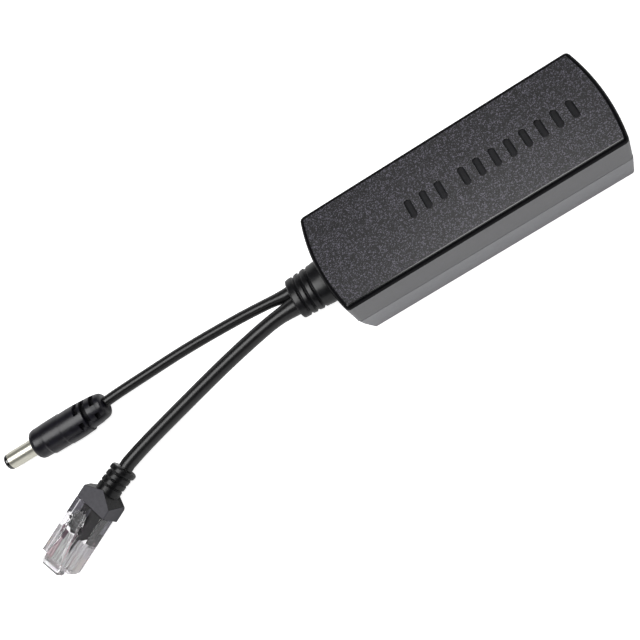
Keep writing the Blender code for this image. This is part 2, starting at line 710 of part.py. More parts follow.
def latch_arm(plug, deck):
    """Side view of the latch, extruded across: root at the nose, free end over the hood side."""
    nose, free = plug_nose() - 0.8 * MM, plug_start() + 1.6 * MM
    side = [(nose, deck - 0.6 * MM), (nose - 0.5 * MM, deck + 0.9 * MM),
            (nose - 2.2 * MM, deck + LATCH_THICKNESS + 0.2 * MM),
            (free + 6 * MM, deck + LATCH_RISE + 0.1 * MM), (free, deck + LATCH_RISE + 0.5 * MM),
            (free, deck + LATCH_RISE - 0.4 * MM), (free + 6 * MM, deck + LATCH_RISE - 0.9 * MM),
            (nose - 2.6 * MM, deck + 0.25 * MM), (nose - 3.0 * MM, deck - 0.6 * MM)]
    bm = bmesh.new()
    face = bm.faces.new([bm.verts.new((x, -LATCH_WIDTH / 2, z)) for x, z in side])
    made = bmesh.ops.extrude_face_region(bm, geom=[face])["geom"]
    moved = [v for v in made if isinstance(v, bmesh.types.BMVert)]
    bmesh.ops.translate(bm, vec=(0, LATCH_WIDTH, 0), verts=moved)
    for vert in bm.verts:
        if vert.co.x < free + 7 * MM:
            vert.co.y *= 0.62
    return mesh_object("latch_arm", bm, None, plug, 0, CUTTERS)


def contact_y(index):
    return (index - (CONTACT_COUNT - 1) / 2) * CONTACT_PITCH


def make_plug_contact(plug, index):
    """One gold blade standing in its slot near the nose."""
    y = contact_y(index)
    half = BLADE_THICKNESS / 2 - 0.03 * MM
    front, low = plug_nose() - BLADE_SETBACK, PLUG_LIFT + BLADE_RECESS
    return box(f"data_plug_contact_{index + 1}", (front - BLADE_LENGTH, y - half, low),
               (front, y + half, low + BLADE_HEIGHT), gold(), plug)


def lay_along(obj, height):
    """Lay a turned piece down along its plug's X axis at a height."""
    obj.rotation_euler = (0, math.radians(90), 0)
    obj.location = (0, 0, height)
    return obj


def make_power_plug_grip(plug):
    """Moulded grip: plain round front, ribbed and notched tail, end ring, bore for the sleeve."""
    length, radius = GRIP_LENGTH, GRIP_RADIUS
    bore = SLEEVE_RADIUS + GAP
    profile = [(bore, length - SLEEVE_SEAT), (bore, length), (radius - 0.9 * MM, length),
               (radius - 0.25 * MM, length - 0.3 * MM), (radius, length - 1.0 * MM), (radius, 10.6 * MM),
               (radius - 0.2 * MM, 9.3 * MM), (radius - 1.0 * MM, 9.2 * MM), (radius - 1.05 * MM, 8.3 * MM),
               (radius - 0.35 * MM, 8.2 * MM), (radius - 0.8 * MM, 4.6 * MM), (radius - 1.7 * MM, 4.5 * MM),
               (radius - 1.75 * MM, 3.6 * MM), (radius - 0.95 * MM, 3.5 * MM), (radius - 1.1 * MM, 2.4 * MM),
               (radius - 2.0 * MM, 2.3 * MM), (radius - 2.0 * MM, 1.8 * MM), (radius - 1.5 * MM, 1.7 * MM),
               (radius - 1.5 * MM, 0.3 * MM), (radius - 1.8 * MM, 0), (0, 0)]
    profile = [(0, length - SLEEVE_SEAT)] + profile
    grip = lay_along(turned("power_plug_grip", profile, black_pvc(), plug, 24), radius)
    for side in (-1, 1):
        web = box_cutter(f"grip_web_{'top' if side > 0 else 'bottom'}",
                         (2.0 * MM, -0.8 * MM, radius + (0 if side > 0 else -(radius - 1.2 * MM))),
                         (9.0 * MM, 0.8 * MM, radius + (radius - 1.2 * MM if side > 0 else 0)), plug)
        join(grip, web)
    return grip


def make_power_plug_sleeve(plug):
    """Nickel barrel, open right through, its outer lip slightly bevelled."""
    low, high = GRIP_LENGTH - SLEEVE_SEAT + GAP, GRIP_LENGTH + SLEEVE_LENGTH
    profile = [(SLEEVE_BORE, low), (SLEEVE_BORE, high), (SLEEVE_RADIUS - 0.25 * MM, high),
               (SLEEVE_RADIUS, high - 0.25 * MM), (SLEEVE_RADIUS, low), (SLEEVE_BORE, low)]
    return lay_along(turned("power_plug_sleeve", profile, nickel(), plug, 24), GRIP_RADIUS)


def make_power_plug_insulator(plug):
    """Black lining of the barrel, standing a little proud at the tip."""
    low = GRIP_LENGTH - SLEEVE_SEAT + GAP
    high = GRIP_LENGTH + SLEEVE_LENGTH + 0.35 * MM
    outer, inner = SLEEVE_BORE - GAP, TIP_BORE + 0.2 * MM + GAP
    profile = [(inner, low), (inner, high), (outer, high), (outer, low), (inner, low)]
    return lay_along(turned("power_plug_insulator", profile, dark_epoxy(), plug, 20), GRIP_RADIUS)


def make_power_plug_inner_contact(plug):
    """Thin spring tube inside the lining that takes the centre pin."""
    low = GRIP_LENGTH - SLEEVE_SEAT + GAP
    high = GRIP_LENGTH + SLEEVE_LENGTH - 0.8 * MM
    profile = [(TIP_BORE, low), (TIP_BORE, high), (TIP_BORE + 0.2 * MM, high), (TIP_BORE + 0.2 * MM, low),
               (TIP_BORE, low)]
    return lay_along(turned("power_plug_inner_contact", profile, nickel(), plug, 16), GRIP_RADIUS)


def make_socket():
    """Socket housing on the board, its port open to +X with the latch slot at the bottom."""
    back = SOCKET_FACE_X - SOCKET_DEPTH
    bottom = socket_bottom()
    body = box("socket_housing", (back, -SOCKET_WIDTH / 2, bottom),
               (SOCKET_FACE_X, SOCKET_WIDTH / 2, bottom + SOCKET_HEIGHT),
               material("socket_plastic", (0.02, 0.02, 0.022), 0.45))
    port = box_cutter("socket_port", (SOCKET_FACE_X - PORT_DEPTH, -PORT_WIDTH / 2, bottom + PORT_FLOOR),
                      (SOCKET_FACE_X + 1 * MM, PORT_WIDTH / 2, bottom + PORT_FLOOR + PORT_HEIGHT))
    slot = box_cutter("socket_latch_slot",
                      (SOCKET_FACE_X - PORT_DEPTH, -LATCH_SLOT_WIDTH / 2,
                       bottom + PORT_FLOOR - LATCH_SLOT_DROP),
                      (SOCKET_FACE_X + 1 * MM, LATCH_SLOT_WIDTH / 2, bottom + PORT_FLOOR + 1 * MM))
    cut(body, port)
    cut(body, slot)
    return body


def make_socket_contact(index):
    """Spring wire that slopes up from the port's back wall to its roof near the mouth."""
    y = contact_y(index)
    roof = socket_bottom() + PORT_FLOOR + PORT_HEIGHT
    clear = SPRING_RADIUS + GAP
    back = SOCKET_FACE_X - PORT_DEPTH + clear
    points = [(back, y, roof - 1.9 * MM), (back + 1.2 * MM, y, roof - 1.9 * MM),
              (SOCKET_FACE_X - 3.2 * MM, y, roof - clear), (SOCKET_FACE_X - 2.2 * MM, y, roof - clear)]
    wire = tube(f"socket_contact_{index + 1}", points, SPRING_RADIUS, gold())
    wire.data.bevel_resolution = 1
    return wire


def make_circuit_board():
    """Board on the four posts, notched at the cord end for the wires."""
    low = (BOARD_CENTRE_X - BOARD_LENGTH / 2, -BOARD_WIDTH / 2, BOARD_BOTTOM)
    high = (BOARD_CENTRE_X + BOARD_LENGTH / 2, BOARD_WIDTH / 2, board_top())
    return box("circuit_board", low, high, material("solder_mask", (0.03, 0.16, 0.06), 0.4))


def component(name, x, y, length, width, height, mat, edge=0.3 * MM):
    """A rectangular component standing on the board."""
    base = board_top() + GAP
    return box(name, (x - length / 2, y - width / 2, base), (x + length / 2, y + width / 2, base + height),
               mat, edge=edge)


def can_capacitor(name, x, y, radius, height):
    base = board_top() + GAP
    return cylinder(name, radius, base, base + height, (x, y, 0),
                    material("capacitor_sleeve", (0.05, 0.06, 0.10), 0.35), segments=20, edge=0.4 * MM)


def core_start_x():
    """The power transformer's side towards the socket."""
    return network_middle_x() - NETWORK_TRANSFORMER_LENGTH / 2 - ROW_GAP


def network_middle_x():
    return SOCKET_BACK_X - ROW_GAP - NETWORK_TRANSFORMER_LENGTH / 2


def inductor_place():
    """Centre of the toroid, which lies at the board's back edge."""
    reach = INDUCTOR_RADIUS + INDUCTOR_WIRE_RADIUS
    return (core_start_x() - CORE_LENGTH - ROW_GAP - reach, BOARD_WIDTH / 2 - BOARD_EDGE - reach)


def make_power_transformer():
    """Ferrite frame with a window, and the winding that passes through the window."""
    base = board_top() + GAP
    start, end = core_start_x() - CORE_LENGTH, core_start_x()
    window_low, window_high = base + CORE_YOKE, base + CORE_HEIGHT - CORE_YOKE
    core = box("power_transformer_core", (start, -CORE_WIDTH / 2, base),
               (end, CORE_WIDTH / 2, base + CORE_HEIGHT), material("ferrite", (0.05, 0.05, 0.055), 0.6))
    window = box_cutter("core_window", (start + CORE_LEG, -WINDING_WIDTH / 2, window_low),
                        (end - CORE_LEG, WINDING_WIDTH / 2, window_high))
    cut(core, window)
    winding = box("power_transformer_winding",
                  (start + CORE_LEG + GAP, -WINDING_WIDTH / 2, window_low + GAP),
                  (end - CORE_LEG - GAP, WINDING_WIDTH / 2, window_high - GAP),
                  material("winding_tape", (0.62, 0.50, 0.10), 0.45), edge=1.0 * MM)
    return core, winding


def make_output_inductor():
    """Toroid choke lying flat on the board."""
    place = (*inductor_place(), board_top() + GAP + INDUCTOR_WIRE_RADIUS)
    bpy.ops.mesh.primitive_torus_add(major_radius=INDUCTOR_RADIUS, minor_radius=INDUCTOR_WIRE_RADIUS,
                                     major_segments=20, minor_segments=10, location=place)
    ring = bpy.context.object
    ring.name = "output_inductor"
    for collection in list(ring.users_collection):
        collection.objects.unlink(ring)
    PARTS.objects.link(ring)
    ring.data.materials.append(material("enamelled_copper", (0.45, 0.16, 0.06), 0.35, metallic=0.6))
    return ring


def edge_part(name, x, side, length, width, height=LOW_PART_HEIGHT):
    """A low part along the board's edge: side is -1 for the front, 1 for the back."""
    component(name, x, side * (BOARD_WIDTH / 2 - BOARD_EDGE - width / 2), length, width, height, dark_epoxy())


def make_board_components():
    """What stands on the board, row by row from the socket end to the cord end."""
    component("network_transformer", network_middle_x(), 0, NETWORK_TRANSFORMER_LENGTH,
              NETWORK_TRANSFORMER_WIDTH, NETWORK_TRANSFORMER_HEIGHT, dark_epoxy())
    edge_part("bridge_rectifier_a", SOCKET_BACK_X + RECTIFIER_LEAD, -1, RECTIFIER_LENGTH, RECTIFIER_WIDTH)
    edge_part("bridge_rectifier_b", SOCKET_BACK_X + RECTIFIER_LEAD, 1, RECTIFIER_LENGTH, RECTIFIER_WIDTH)
    edge_part("controller_chip", network_middle_x(), -1, CHIP_LENGTH, CHIP_WIDTH)
    edge_part("switching_transistor", network_middle_x(), 1, TRANSISTOR_LENGTH, TRANSISTOR_WIDTH)
    edge_part("optocoupler", core_start_x() - CORE_LENGTH / 2, -1, OPTOCOUPLER_LENGTH, OPTOCOUPLER_WIDTH,
              LOW_PART_HEIGHT * 1.7)
    make_power_transformer()
    make_output_inductor()
    inductor_x, inductor_y = inductor_place()
    reach = INDUCTOR_RADIUS + INDUCTOR_WIRE_RADIUS
    can_capacitor("input_capacitor", inductor_x, inductor_y - reach - INPUT_CAN_GAP - INPUT_CAN_RADIUS,
                  INPUT_CAN_RADIUS, INPUT_CAN_HEIGHT)
    output_x = inductor_x - reach - ROW_GAP - DIODE_LENGTH / 2
    component("output_diode", output_x, 0, DIODE_LENGTH, DIODE_WIDTH, LOW_PART_HEIGHT, dark_epoxy())
    can_y = DIODE_WIDTH / 2 + OUTPUT_CAN_GAP + OUTPUT_CAN_RADIUS
    can_capacitor("output_capacitor_a", output_x, -can_y, OUTPUT_CAN_RADIUS, OUTPUT_CAN_HEIGHT)
    can_capacitor("output_capacitor_b", output_x, can_y, OUTPUT_CAN_RADIUS, OUTPUT_CAN_HEIGHT)


def inner_wire(name, y_start, y_end, radius, rgb):
    """A wire from the strain relief's inner face down to the board."""
    start = Vector((WIRE_START_X, y_start, RELIEF_CENTRE_Z))
    end = Vector((WIRE_END_X, y_end, board_top() + GAP + radius))
    route = [start, start + Vector((1.0 * MM, 0, 0)), (start + end) / 2, end - Vector((1.2 * MM, 0, 0)), end]
    return tube(name, smooth_route(route, 2.0 * MM), radius, material(name + "_skin", rgb, 0.4))


def make_inner_wires():
    """Two wires of the power lead and one of each pair of the data lead."""
    inner_wire("power_wire_positive", POWER_CABLE_Y + 0.7 * MM, 6.2 * MM, POWER_WIRE_RADIUS, (0.45, 0.02, 0.02))
    inner_wire("power_wire_negative", POWER_CABLE_Y - 0.9 * MM, 3.6 * MM, POWER_WIRE_RADIUS, (0.01, 0.01, 0.01))
    skins = ((0.75, 0.25, 0.03), (0.03, 0.30, 0.08), (0.04, 0.10, 0.55), (0.25, 0.10, 0.03))
    for index, rgb in enumerate(skins):
        y = DATA_CABLE_Y + (index - 1.5) * 3 * DATA_WIRE_RADIUS
        inner_wire(f"data_pair_wire_{index + 1}", y, (index * 2.1 - 7.5) * MM, DATA_WIRE_RADIUS, rgb)


def build():
    make_top_cover()
    make_bottom_case()
    make_strain_relief()
    make_data_cable()
    make_power_cable()

    data_plug = empty("data_plug", (*DATA_PLUG_PLACE, 0), DATA_PLUG_HEADING)
    make_data_plug_boot(data_plug)
    make_data_plug_body(data_plug)
    power_plug = empty("power_plug", (*POWER_PLUG_PLACE, 0), POWER_PLUG_HEADING)
    make_power_plug_grip(power_plug)
    make_power_plug_sleeve(power_plug)
    make_power_plug_insulator(power_plug)
    make_power_plug_inner_contact(power_plug)

    make_socket()
    for index in range(CONTACT_COUNT):
        make_socket_contact(index)
        make_plug_contact(data_plug, index)
    make_circuit_board()
    make_board_components()
    make_inner_wires()


build()
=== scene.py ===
"""Looks of a PoE splitter: moulded black box, two short leads, a clear network plug and a barrel plug."""
import math

import bmesh
import bpy
from mathutils import Matrix, Vector


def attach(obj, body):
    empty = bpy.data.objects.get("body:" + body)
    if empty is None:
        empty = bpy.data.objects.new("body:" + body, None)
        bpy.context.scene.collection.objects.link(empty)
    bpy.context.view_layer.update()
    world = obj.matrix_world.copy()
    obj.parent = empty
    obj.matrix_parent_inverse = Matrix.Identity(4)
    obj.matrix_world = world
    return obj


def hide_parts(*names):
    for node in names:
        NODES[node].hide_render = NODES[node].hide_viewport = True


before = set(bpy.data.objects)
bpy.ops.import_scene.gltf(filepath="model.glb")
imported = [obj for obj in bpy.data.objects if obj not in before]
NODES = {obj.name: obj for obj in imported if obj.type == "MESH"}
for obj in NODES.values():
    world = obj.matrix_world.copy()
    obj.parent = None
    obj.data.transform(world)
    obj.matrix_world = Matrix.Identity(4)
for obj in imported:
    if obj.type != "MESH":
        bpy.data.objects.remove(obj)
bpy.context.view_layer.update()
SCENE = bpy.context.scene
MM = 0.001

# Where the leads run, in millimetres, as in the part's source
DATA_PLACE, DATA_HEADING = (-128.1, -14.4), 209.0
POWER_PLACE, POWER_HEADING = (-125.4, 6.6), 180.0
RELIEF_END_X, RELIEF_CENTRE_Z = -56.6, 11.0
DATA_EXIT_Y, POWER_EXIT_Y = -1.9, 2.6
DATA_CABLE_RADIUS, POWER_CABLE_RADIUS = 2.3, 1.7
HOOD_HEIGHT, GRIP_RADIUS, GAP = 8.0, 4.9, 0.3

# The photograph's camera, fitted to it at 640 x 640: its place in millimetres, its axes, its lens and film
CAMERA_PLACE = (-1.386, -135.053, 282.131)
CAMERA_RIGHT, CAMERA_FORWARD = (0.84316, -0.40926, -0.34869), (-0.16924, 0.41354, -0.89462)
CAMERA_LENS, CAMERA_FILM = 59.92, 36.0


def linear(hex_text):
    """An sRGB hex colour as the linear values Blender's sockets take."""
    values = [int(hex_text[i:i + 2], 16) / 255 for i in (1, 3, 5)]
    return (*[v / 12.92 if v <= 0.04045 else ((v + 0.055) / 1.055) ** 2.4 for v in values], 1.0)


def add(tree, kind, settings=None, inputs=None):
    """Add a shader node. An input takes a number, a colour or another node's output socket."""
    made = tree.nodes.new(kind)
    for name, value in (settings or {}).items():
        if name == "stops":
            ramp = made.color_ramp.elements
            while len(ramp) < len(value):
                ramp.new(0.5)
            for stop, (place, colour) in zip(ramp, value):
                stop.position, stop.color = place, linear(colour)
        else:
            setattr(made, name, value)
    for name, value in (inputs or {}).items():
        if isinstance(value, bpy.types.NodeSocket):
            tree.links.new(value, made.inputs[name])
        elif isinstance(value, str):
            made.inputs[name].default_value = linear(value)
        else:
            made.inputs[name].default_value = value
    return made


def new_material(name):
    """An empty node material and its tree."""
    mat = bpy.data.materials.new(name)
    mat.use_nodes = True
    mat.node_tree.nodes.clear()
    return mat, mat.node_tree


def finish_material(mat, tree, shader):
    """Join the shader to the material's output."""
    out = tree.nodes.new("ShaderNodeOutputMaterial")
    tree.links.new(shader.outputs[0], out.inputs["Surface"])
    return mat


# Camera -------------------------------------------------------------------------------------
def make_camera():
    """The photograph's viewpoint: high over the front side, turned so the box runs up to the right."""
    data = bpy.data.cameras.new("camera")
    data.lens, data.sensor_width = CAMERA_LENS, CAMERA_FILM
    data.clip_start, data.clip_end = 0.01, 20.0
    camera = bpy.data.objects.new("camera", data)
    SCENE.collection.objects.link(camera)
    right, forward = Vector(CAMERA_RIGHT).normalized(), Vector(CAMERA_FORWARD).normalized()
    up = right.cross(forward)
    turn = Matrix((right, up, -forward)).transposed().to_4x4()
    camera.matrix_world = Matrix.Translation(Vector(CAMERA_PLACE) * MM) @ turn
    SCENE.camera = camera


make_camera()


# Cords --------------------------------------------------------------------------------------
ROUTE_SAMPLES, STEPS_PER_SPAN = 34, 24
DATA_FLARE, POWER_FLARE, FLARE_REACH = 0.24, 0.3, 4.2


def smooth_route(points, count):
    """Evenly spaced points read from a Catmull-Rom curve through the route's own points."""
    route = [Vector(p) for p in points]
    fine = []
    for a, b, c, d in zip(route, route[1:], route[2:], route[3:]):
        for step in range(STEPS_PER_SPAN):
            t = step / STEPS_PER_SPAN
            fine.append(0.5 * ((2 * b) + (c - a) * t + (2 * a - 5 * b + 4 * c - d) * t * t
                               + (3 * b - a - 3 * c + d) * t ** 3))
    fine.append(route[-2])
    lengths = [0.0]
    for one, two in zip(fine, fine[1:]):
        lengths.append(lengths[-1] + (two - one).length)
    samples, index = [route[0]], 0
    for step in range(count + 1):
        target = lengths[-1] * step / count
        while index < len(fine) - 2 and lengths[index + 1] < target:
            index += 1
        part = (target - lengths[index]) / (lengths[index + 1] - lengths[index])
        samples.append(fine[index].lerp(fine[index + 1], min(1.0, part)))
    return samples + [route[-1]]


def cord_curve(name, points, radius, flare):
    """A round cord as one open poly line with a bevel, a little thicker where the relief is moulded on."""
    curve = bpy.data.curves.new(name, "CURVE")
    curve.dimensions = "3D"
    curve.bevel_depth = radius * MM
    curve.bevel_resolution = 10
    curve.use_fill_caps = True
    spline = curve.splines.new("POLY")
    spline.points.add(len(points) - 1)
    for point, place in zip(spline.points, points):
        point.co = (*(place * MM), 1.0)
        point.radius = 1.0 + flare * math.exp(-((place - points[0]).length / FLARE_REACH) ** 2)
    spline.use_smooth = True
    curve.materials.append(CABLE_PVC)
    cord = bpy.data.objects.new(name, curve)
    SCENE.collection.objects.link(cord)
    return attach(cord, "root")


def route_length(points):
    """Length along the route, in millimetres."""
    return sum((b - a).length for a, b in zip(points, points[1:]))


def data_route():
    """Centreline of the thicker lead, from the strain relief down to the boot lying on the table."""
    heading = Vector((math.cos(math.radians(DATA_HEADING)), math.sin(math.radians(DATA_HEADING)), 0))
    last = Vector((*DATA_PLACE, HOOD_HEIGHT / 2)) - heading * GAP * 1.2 + Vector((-heading.y, heading.x, 0)) * 0.9
    first = Vector((RELIEF_END_X - GAP, DATA_EXIT_Y, RELIEF_CENTRE_Z))
    route = [first, first + Vector((-1.5, 0, 0)), Vector((-67.0, -2.3, 10.3)), Vector((-83.0, -4.7, 8.6)),
             Vector((-102.4, -8.5, 6.3)), Vector((-117.4, -11.8, 4.7)), last - heading * 1.6, last]
    return smooth_route(route, ROUTE_SAMPLES)


def power_route():
    """Centreline of the thinner lead, from the strain relief down to the grip lying on the table."""
    last = Vector((*POWER_PLACE, GRIP_RADIUS)) + Vector((GAP, 0.4, 0))
    first = Vector((RELIEF_END_X - GAP, POWER_EXIT_Y, RELIEF_CENTRE_Z))
    route = [first, first + Vector((-1.5, 0, 0)), Vector((-65.6, 3.9, 10.3)), Vector((-77.8, 5.6, 8.6)),
             Vector((-94.6, 7.1, 6.5)), Vector((-110.0, 7.4, 5.3)), Vector((-119.5, 7.3, 4.95)),
             last + Vector((1.5, 0.1, 0)), last]
    return smooth_route(route, ROUTE_SAMPLES)


# Modelling helpers ----------------------------------------------------------------------------
def raise_face(bm, face, shift=(0, 0, 0), shape=None):
    """Extrude a face, shift the new one, and let shape move each of its points. Returns the new face."""
    made = bmesh.ops.extrude_face_region(bm, geom=[face])["geom"]
    new = next(f for f in made if isinstance(f, bmesh.types.BMFace))
    bmesh.ops.translate(bm, vec=shift, verts=new.verts)
    if shape:
        for vert in new.verts:
            shape(vert)
    return new


def bevel_edges(bm, edges, width, segments=3):
    """Round these edges over."""
    return bmesh.ops.bevel(bm, geom=edges, offset=width, offset_type="OFFSET", segments=segments,
                           profile=0.5, affect="EDGES", material=-1, clamp_overlap=True)


def sharp_edges(bm, least=40.0):
    """Edges between faces that meet at more than this many degrees."""
    return [e for e in bm.edges if len(e.link_faces) == 2 and e.calc_face_angle(0) > math.radians(least)]


def shave(bm, point, normal):
    """Cut away what lies beyond a plane and close the cut."""
    geom = bm.verts[:] + bm.edges[:] + bm.faces[:]
    bmesh.ops.bisect_plane(bm, geom=geom, dist=0.0001, plane_co=point, plane_no=Vector(normal).normalized(),
                           clear_outer=True)
    bmesh.ops.holes_fill(bm, edges=[e for e in bm.edges if e.is_boundary], sides=0)


# Points closer than this, in millimetres, are one
MERGE = 0.002


def raw_object(name, bm):
    """A helper solid in millimetres, with its faces turned outwards."""
    bmesh.ops.remove_doubles(bm, verts=bm.verts, dist=MERGE)
    bmesh.ops.recalc_face_normals(bm, faces=bm.faces)
    mesh = bpy.data.meshes.new(name)
    bm.to_mesh(mesh)
    bm.free()
    obj = bpy.data.objects.new(name, mesh)
    SCENE.collection.objects.link(obj)
    return obj


def settle(obj):
    """Bake the modifiers into the mesh."""
    bpy.context.view_layer.update()
    graph = bpy.context.evaluated_depsgraph_get()
    mesh = bpy.data.meshes.new_from_object(obj.evaluated_get(graph), preserve_all_data_layers=True,
                                           depsgraph=graph)
    obj.modifiers.clear()
    obj.data = mesh
    return obj


def carve(obj, tool, operation="DIFFERENCE"):
    """Cut a helper solid out of a piece, or join it on, and throw the helper away."""
    step = obj.modifiers.new(tool.name, "BOOLEAN")
    step.object, step.operation, step.solver = tool, operation, "EXACT"
    settle(obj)
    bpy.data.objects.remove(tool)
    return obj


def place_piece(obj, materials, pick=None, smooth=32.0, nodes=(), turn=None, after=None):
    """Finish a piece: its place, metres, materials by face, shading, and what it stands for."""
    mesh = obj.data
    # the cuts leave some points doubled
    bm = bmesh.new()
    bm.from_mesh(mesh)
    bmesh.ops.remove_doubles(bm, verts=bm.verts, dist=MERGE)
    bm.to_mesh(mesh)
    bm.free()
    if turn is not None:
        mesh.transform(turn)
    mesh.materials.clear()
    for mat in materials:
        mesh.materials.append(mat)
    for poly in mesh.polygons:
        poly.material_index = pick(poly) if pick else 0
    mesh.shade_smooth()
    mesh.set_sharp_from_angle(angle=math.radians(smooth))
    weigh = obj.modifiers.new("flat faces stay flat", "WEIGHTED_NORMAL")
    weigh.keep_sharp, weigh.weight = True, 50
    settle(obj)
    if after is not None:
        obj.data.transform(after)
    obj.data.transform(Matrix.Scale(MM, 4))
    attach(obj, "root")
    if nodes:
        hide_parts(*nodes)
    return obj


# Finishes -------------------------------------------------------------------------------------
def repeats(size):
    """Scale of a pattern whose feature has this size in millimetres."""
    return 1 / (size * MM)


def pattern_place(tree):
    """Where a pattern is read: the piece's own coordinates, in metres."""
    return add(tree, "ShaderNodeTexCoord").outputs["Object"]


def spark_textured_abs():
    """Black ABS moulded against a spark-eroded tool: fine round grains, each a random tone from black to grey. The
    grey grains are painted glints, for grains that catch the light.
    """
    mat, tree = new_material("spark_textured_abs")
    place = pattern_place(tree)
    # grains 0.24 mm across, a little coarser than the real 0.2 mm so that they show
    grain = add(tree, "ShaderNodeTexVoronoi", inputs={"Vector": place, "Scale": repeats(0.2381)})
    height = add(tree, "ShaderNodeSeparateColor", inputs={0: grain.outputs["Color"]})
    clumps = add(tree, "ShaderNodeTexNoise", inputs={"Vector": place, "Scale": repeats(4.17), "Detail": 2.0})
    # random grain tones; the paler ones, up to grey, are painted glints on black ABS
    grain_tones_and_painted_glints = [(0.0, "#010102"), (0.45, "#050507"), (0.68, "#131217"), (1.0, "#66636f")]
    colour = add(tree, "ShaderNodeValToRGB", {"stops": grain_tones_and_painted_glints}, {"Fac": height.outputs["Red"]})
    rough = add(tree, "ShaderNodeMapRange", inputs={"Value": clumps.outputs["Fac"], "To Min": 0.27, "To Max": 0.34})
    relief = add(tree, "ShaderNodeBump", inputs={"Height": height.outputs["Red"], "Strength": 0.58,
                                                 "Distance": 0.08 * MM})
    shader = add(tree, "ShaderNodeBsdfPrincipled",
                 inputs={"Base Color": colour.outputs["Color"], "Roughness": rough.outputs["Result"],
                         "IOR": 1.53, "Specular IOR Level": 0.53, "Normal": relief.outputs["Normal"]})
    return finish_material(mat, tree, shader)


def moulded(name, low, high, roughness, mottle=1.111, ior=1.53, gloss=0.5):
    """Moulded plastic and the like: slight mottling in its gloss and colour, about a millimetre across."""
    mat, tree = new_material(name)
    place = pattern_place(tree)
    grain = add(tree, "ShaderNodeTexNoise", inputs={"Vector": place, "Scale": repeats(mottle), "Detail": 3.0})
    colour = add(tree, "ShaderNodeValToRGB", {"stops": [(0.35, low), (0.65, high)]}, {"Fac": grain.outputs["Fac"]})
    rough = add(tree, "ShaderNodeMapRange", inputs={"Value": grain.outputs["Fac"], "To Min": roughness - 0.04,
                                                    "To Max": roughness + 0.04})
    relief = add(tree, "ShaderNodeBump", inputs={"Height": grain.outputs["Fac"], "Strength": 0.4,
                                                 "Distance": 0.01 * MM})
    shader = add(tree, "ShaderNodeBsdfPrincipled",
                 inputs={"Base Color": colour.outputs["Color"], "Roughness": rough.outputs["Result"],
                         "IOR": ior, "Specular IOR Level": gloss, "Normal": relief.outputs["Normal"]})
    return finish_material(mat, tree, shader)


def metal(name, colour, roughness):
    """Plated or bright metal, its gloss faintly uneven from drawing."""
    mat, tree = new_material(name)
    place = pattern_place(tree)
    marks = add(tree, "ShaderNodeTexNoise", inputs={"Vector": place, "Scale": repeats(0.667), "Detail": 2.0})
    rough = add(tree, "ShaderNodeMapRange", inputs={"Value": marks.outputs["Fac"], "To Min": roughness - 0.02,
                                                    "To Max": roughness + 0.02})
    shader = add(tree, "ShaderNodeBsdfPrincipled",
                 inputs={"Base Color": colour, "Metallic": 0.88, "Roughness": rough.outputs["Result"]})
    return finish_material(mat, tree, shader)


def clear_plastic(name, colour, tint, clear, roughness):
    """Moulded polycarbonate: slightly wavy, a little cloudy, bright at its edges."""
    mat, tree = new_material(name)
    place = pattern_place(tree)
    flow = add(tree, "ShaderNodeTexNoise", inputs={"Vector": place, "Scale": repeats(2.857), "Detail": 2.0})
    cloud = add(tree, "ShaderNodeTexNoise", inputs={"Vector": place, "Scale": repeats(5.263), "Detail": 1.0})
    shade = add(tree, "ShaderNodeValToRGB", {"stops": [(0.4, colour), (0.6, tint)]}, {"Fac": cloud.outputs["Fac"]})
    relief = add(tree, "ShaderNodeBump", inputs={"Height": flow.outputs["Fac"], "Strength": 0.5,
                                                 "Distance": 0.05 * MM})
    shader = add(tree, "ShaderNodeBsdfPrincipled",
                 inputs={"Base Color": shade.outputs["Color"], "Roughness": roughness, "IOR": 1.586,
                         "Specular IOR Level": 0.15, "Transmission Weight": clear,
                         "Normal": relief.outputs["Normal"]})
    return finish_material(mat, tree, shader)


SPARK_TEXTURE = spark_textured_abs()
# Polished tool: the rim stays almost black, and the thin edge next to the texture catches a line of light
POLISHED_ABS = moulded("polished_abs", "#08080a", "#0c0c0e", 0.2, gloss=0.1)
EDGE_ABS = moulded("polished_abs_edge", "#0c0c0e", "#101013", 0.16, gloss=0.5)
# Finely blasted tool: even grey sides, the lower half a little paler than the upper. The grey is painted sheen on
# black ABS, standing in for the white table's reflection at a grazing angle; the lower half, turned a little more
# towards the table, is painted paler still
PAINTED_SHEEN_SIDE_ABS = moulded("fine_matt_abs", "#3d3d41", "#444449", 0.4, ior=1.8, gloss=0.72)
PAINTED_SHEEN_LOWER_ABS = moulded("fine_matt_abs_lower", "#66666c", "#6e6e74", 0.4, ior=1.8, gloss=1.0)
# Smooth floor of the pressed bars: darker than the texture round it
SUNK_ABS = moulded("smooth_abs_in_the_bars", "#0c0c0f", "#141418", 0.35, gloss=0.2)
# Soft PVC moulded on: black with a broad satin shine on each rib
SOFT_PVC = moulded("moulded_pvc", "#08080a", "#0e0e11", 0.3, gloss=0.4)
# Extruded jacket: one narrow line of light along the lead
CABLE_PVC = moulded("cable_pvc", "#0a0a0b", "#121213", 0.3, gloss=0.42)
# Smooth tool: the barrel plug's grip has a clear streak of light, with a trace of violet
GLOSSY_PVC = moulded("glossy_pvc", "#0b0a10", "#12111a", 0.3, gloss=0.43)
# The network plug's boot: deep black neck, dull grey hood and polished chamfers that look black. The hood's grey is
# painted sheen on black PVC; only its faces turned towards the lead keep the black
NECK_PVC = moulded("neck_pvc", "#060607", "#0c0c0e", 0.28, gloss=0.3)
PAINTED_SHEEN_BOOT_PVC = moulded("boot_pvc", "#403f44", "#47464b", 0.5, gloss=0.3)
CHAMFER_PVC = moulded("polished_boot_pvc", "#0c0b0e", "#131215", 0.3, gloss=0.08)
# Hard nylon at the barrel's tip: a small sharp highlight
BLACK_NYLON = moulded("black_nylon", "#08080a", "#0e0e10", 0.12, gloss=1.0)
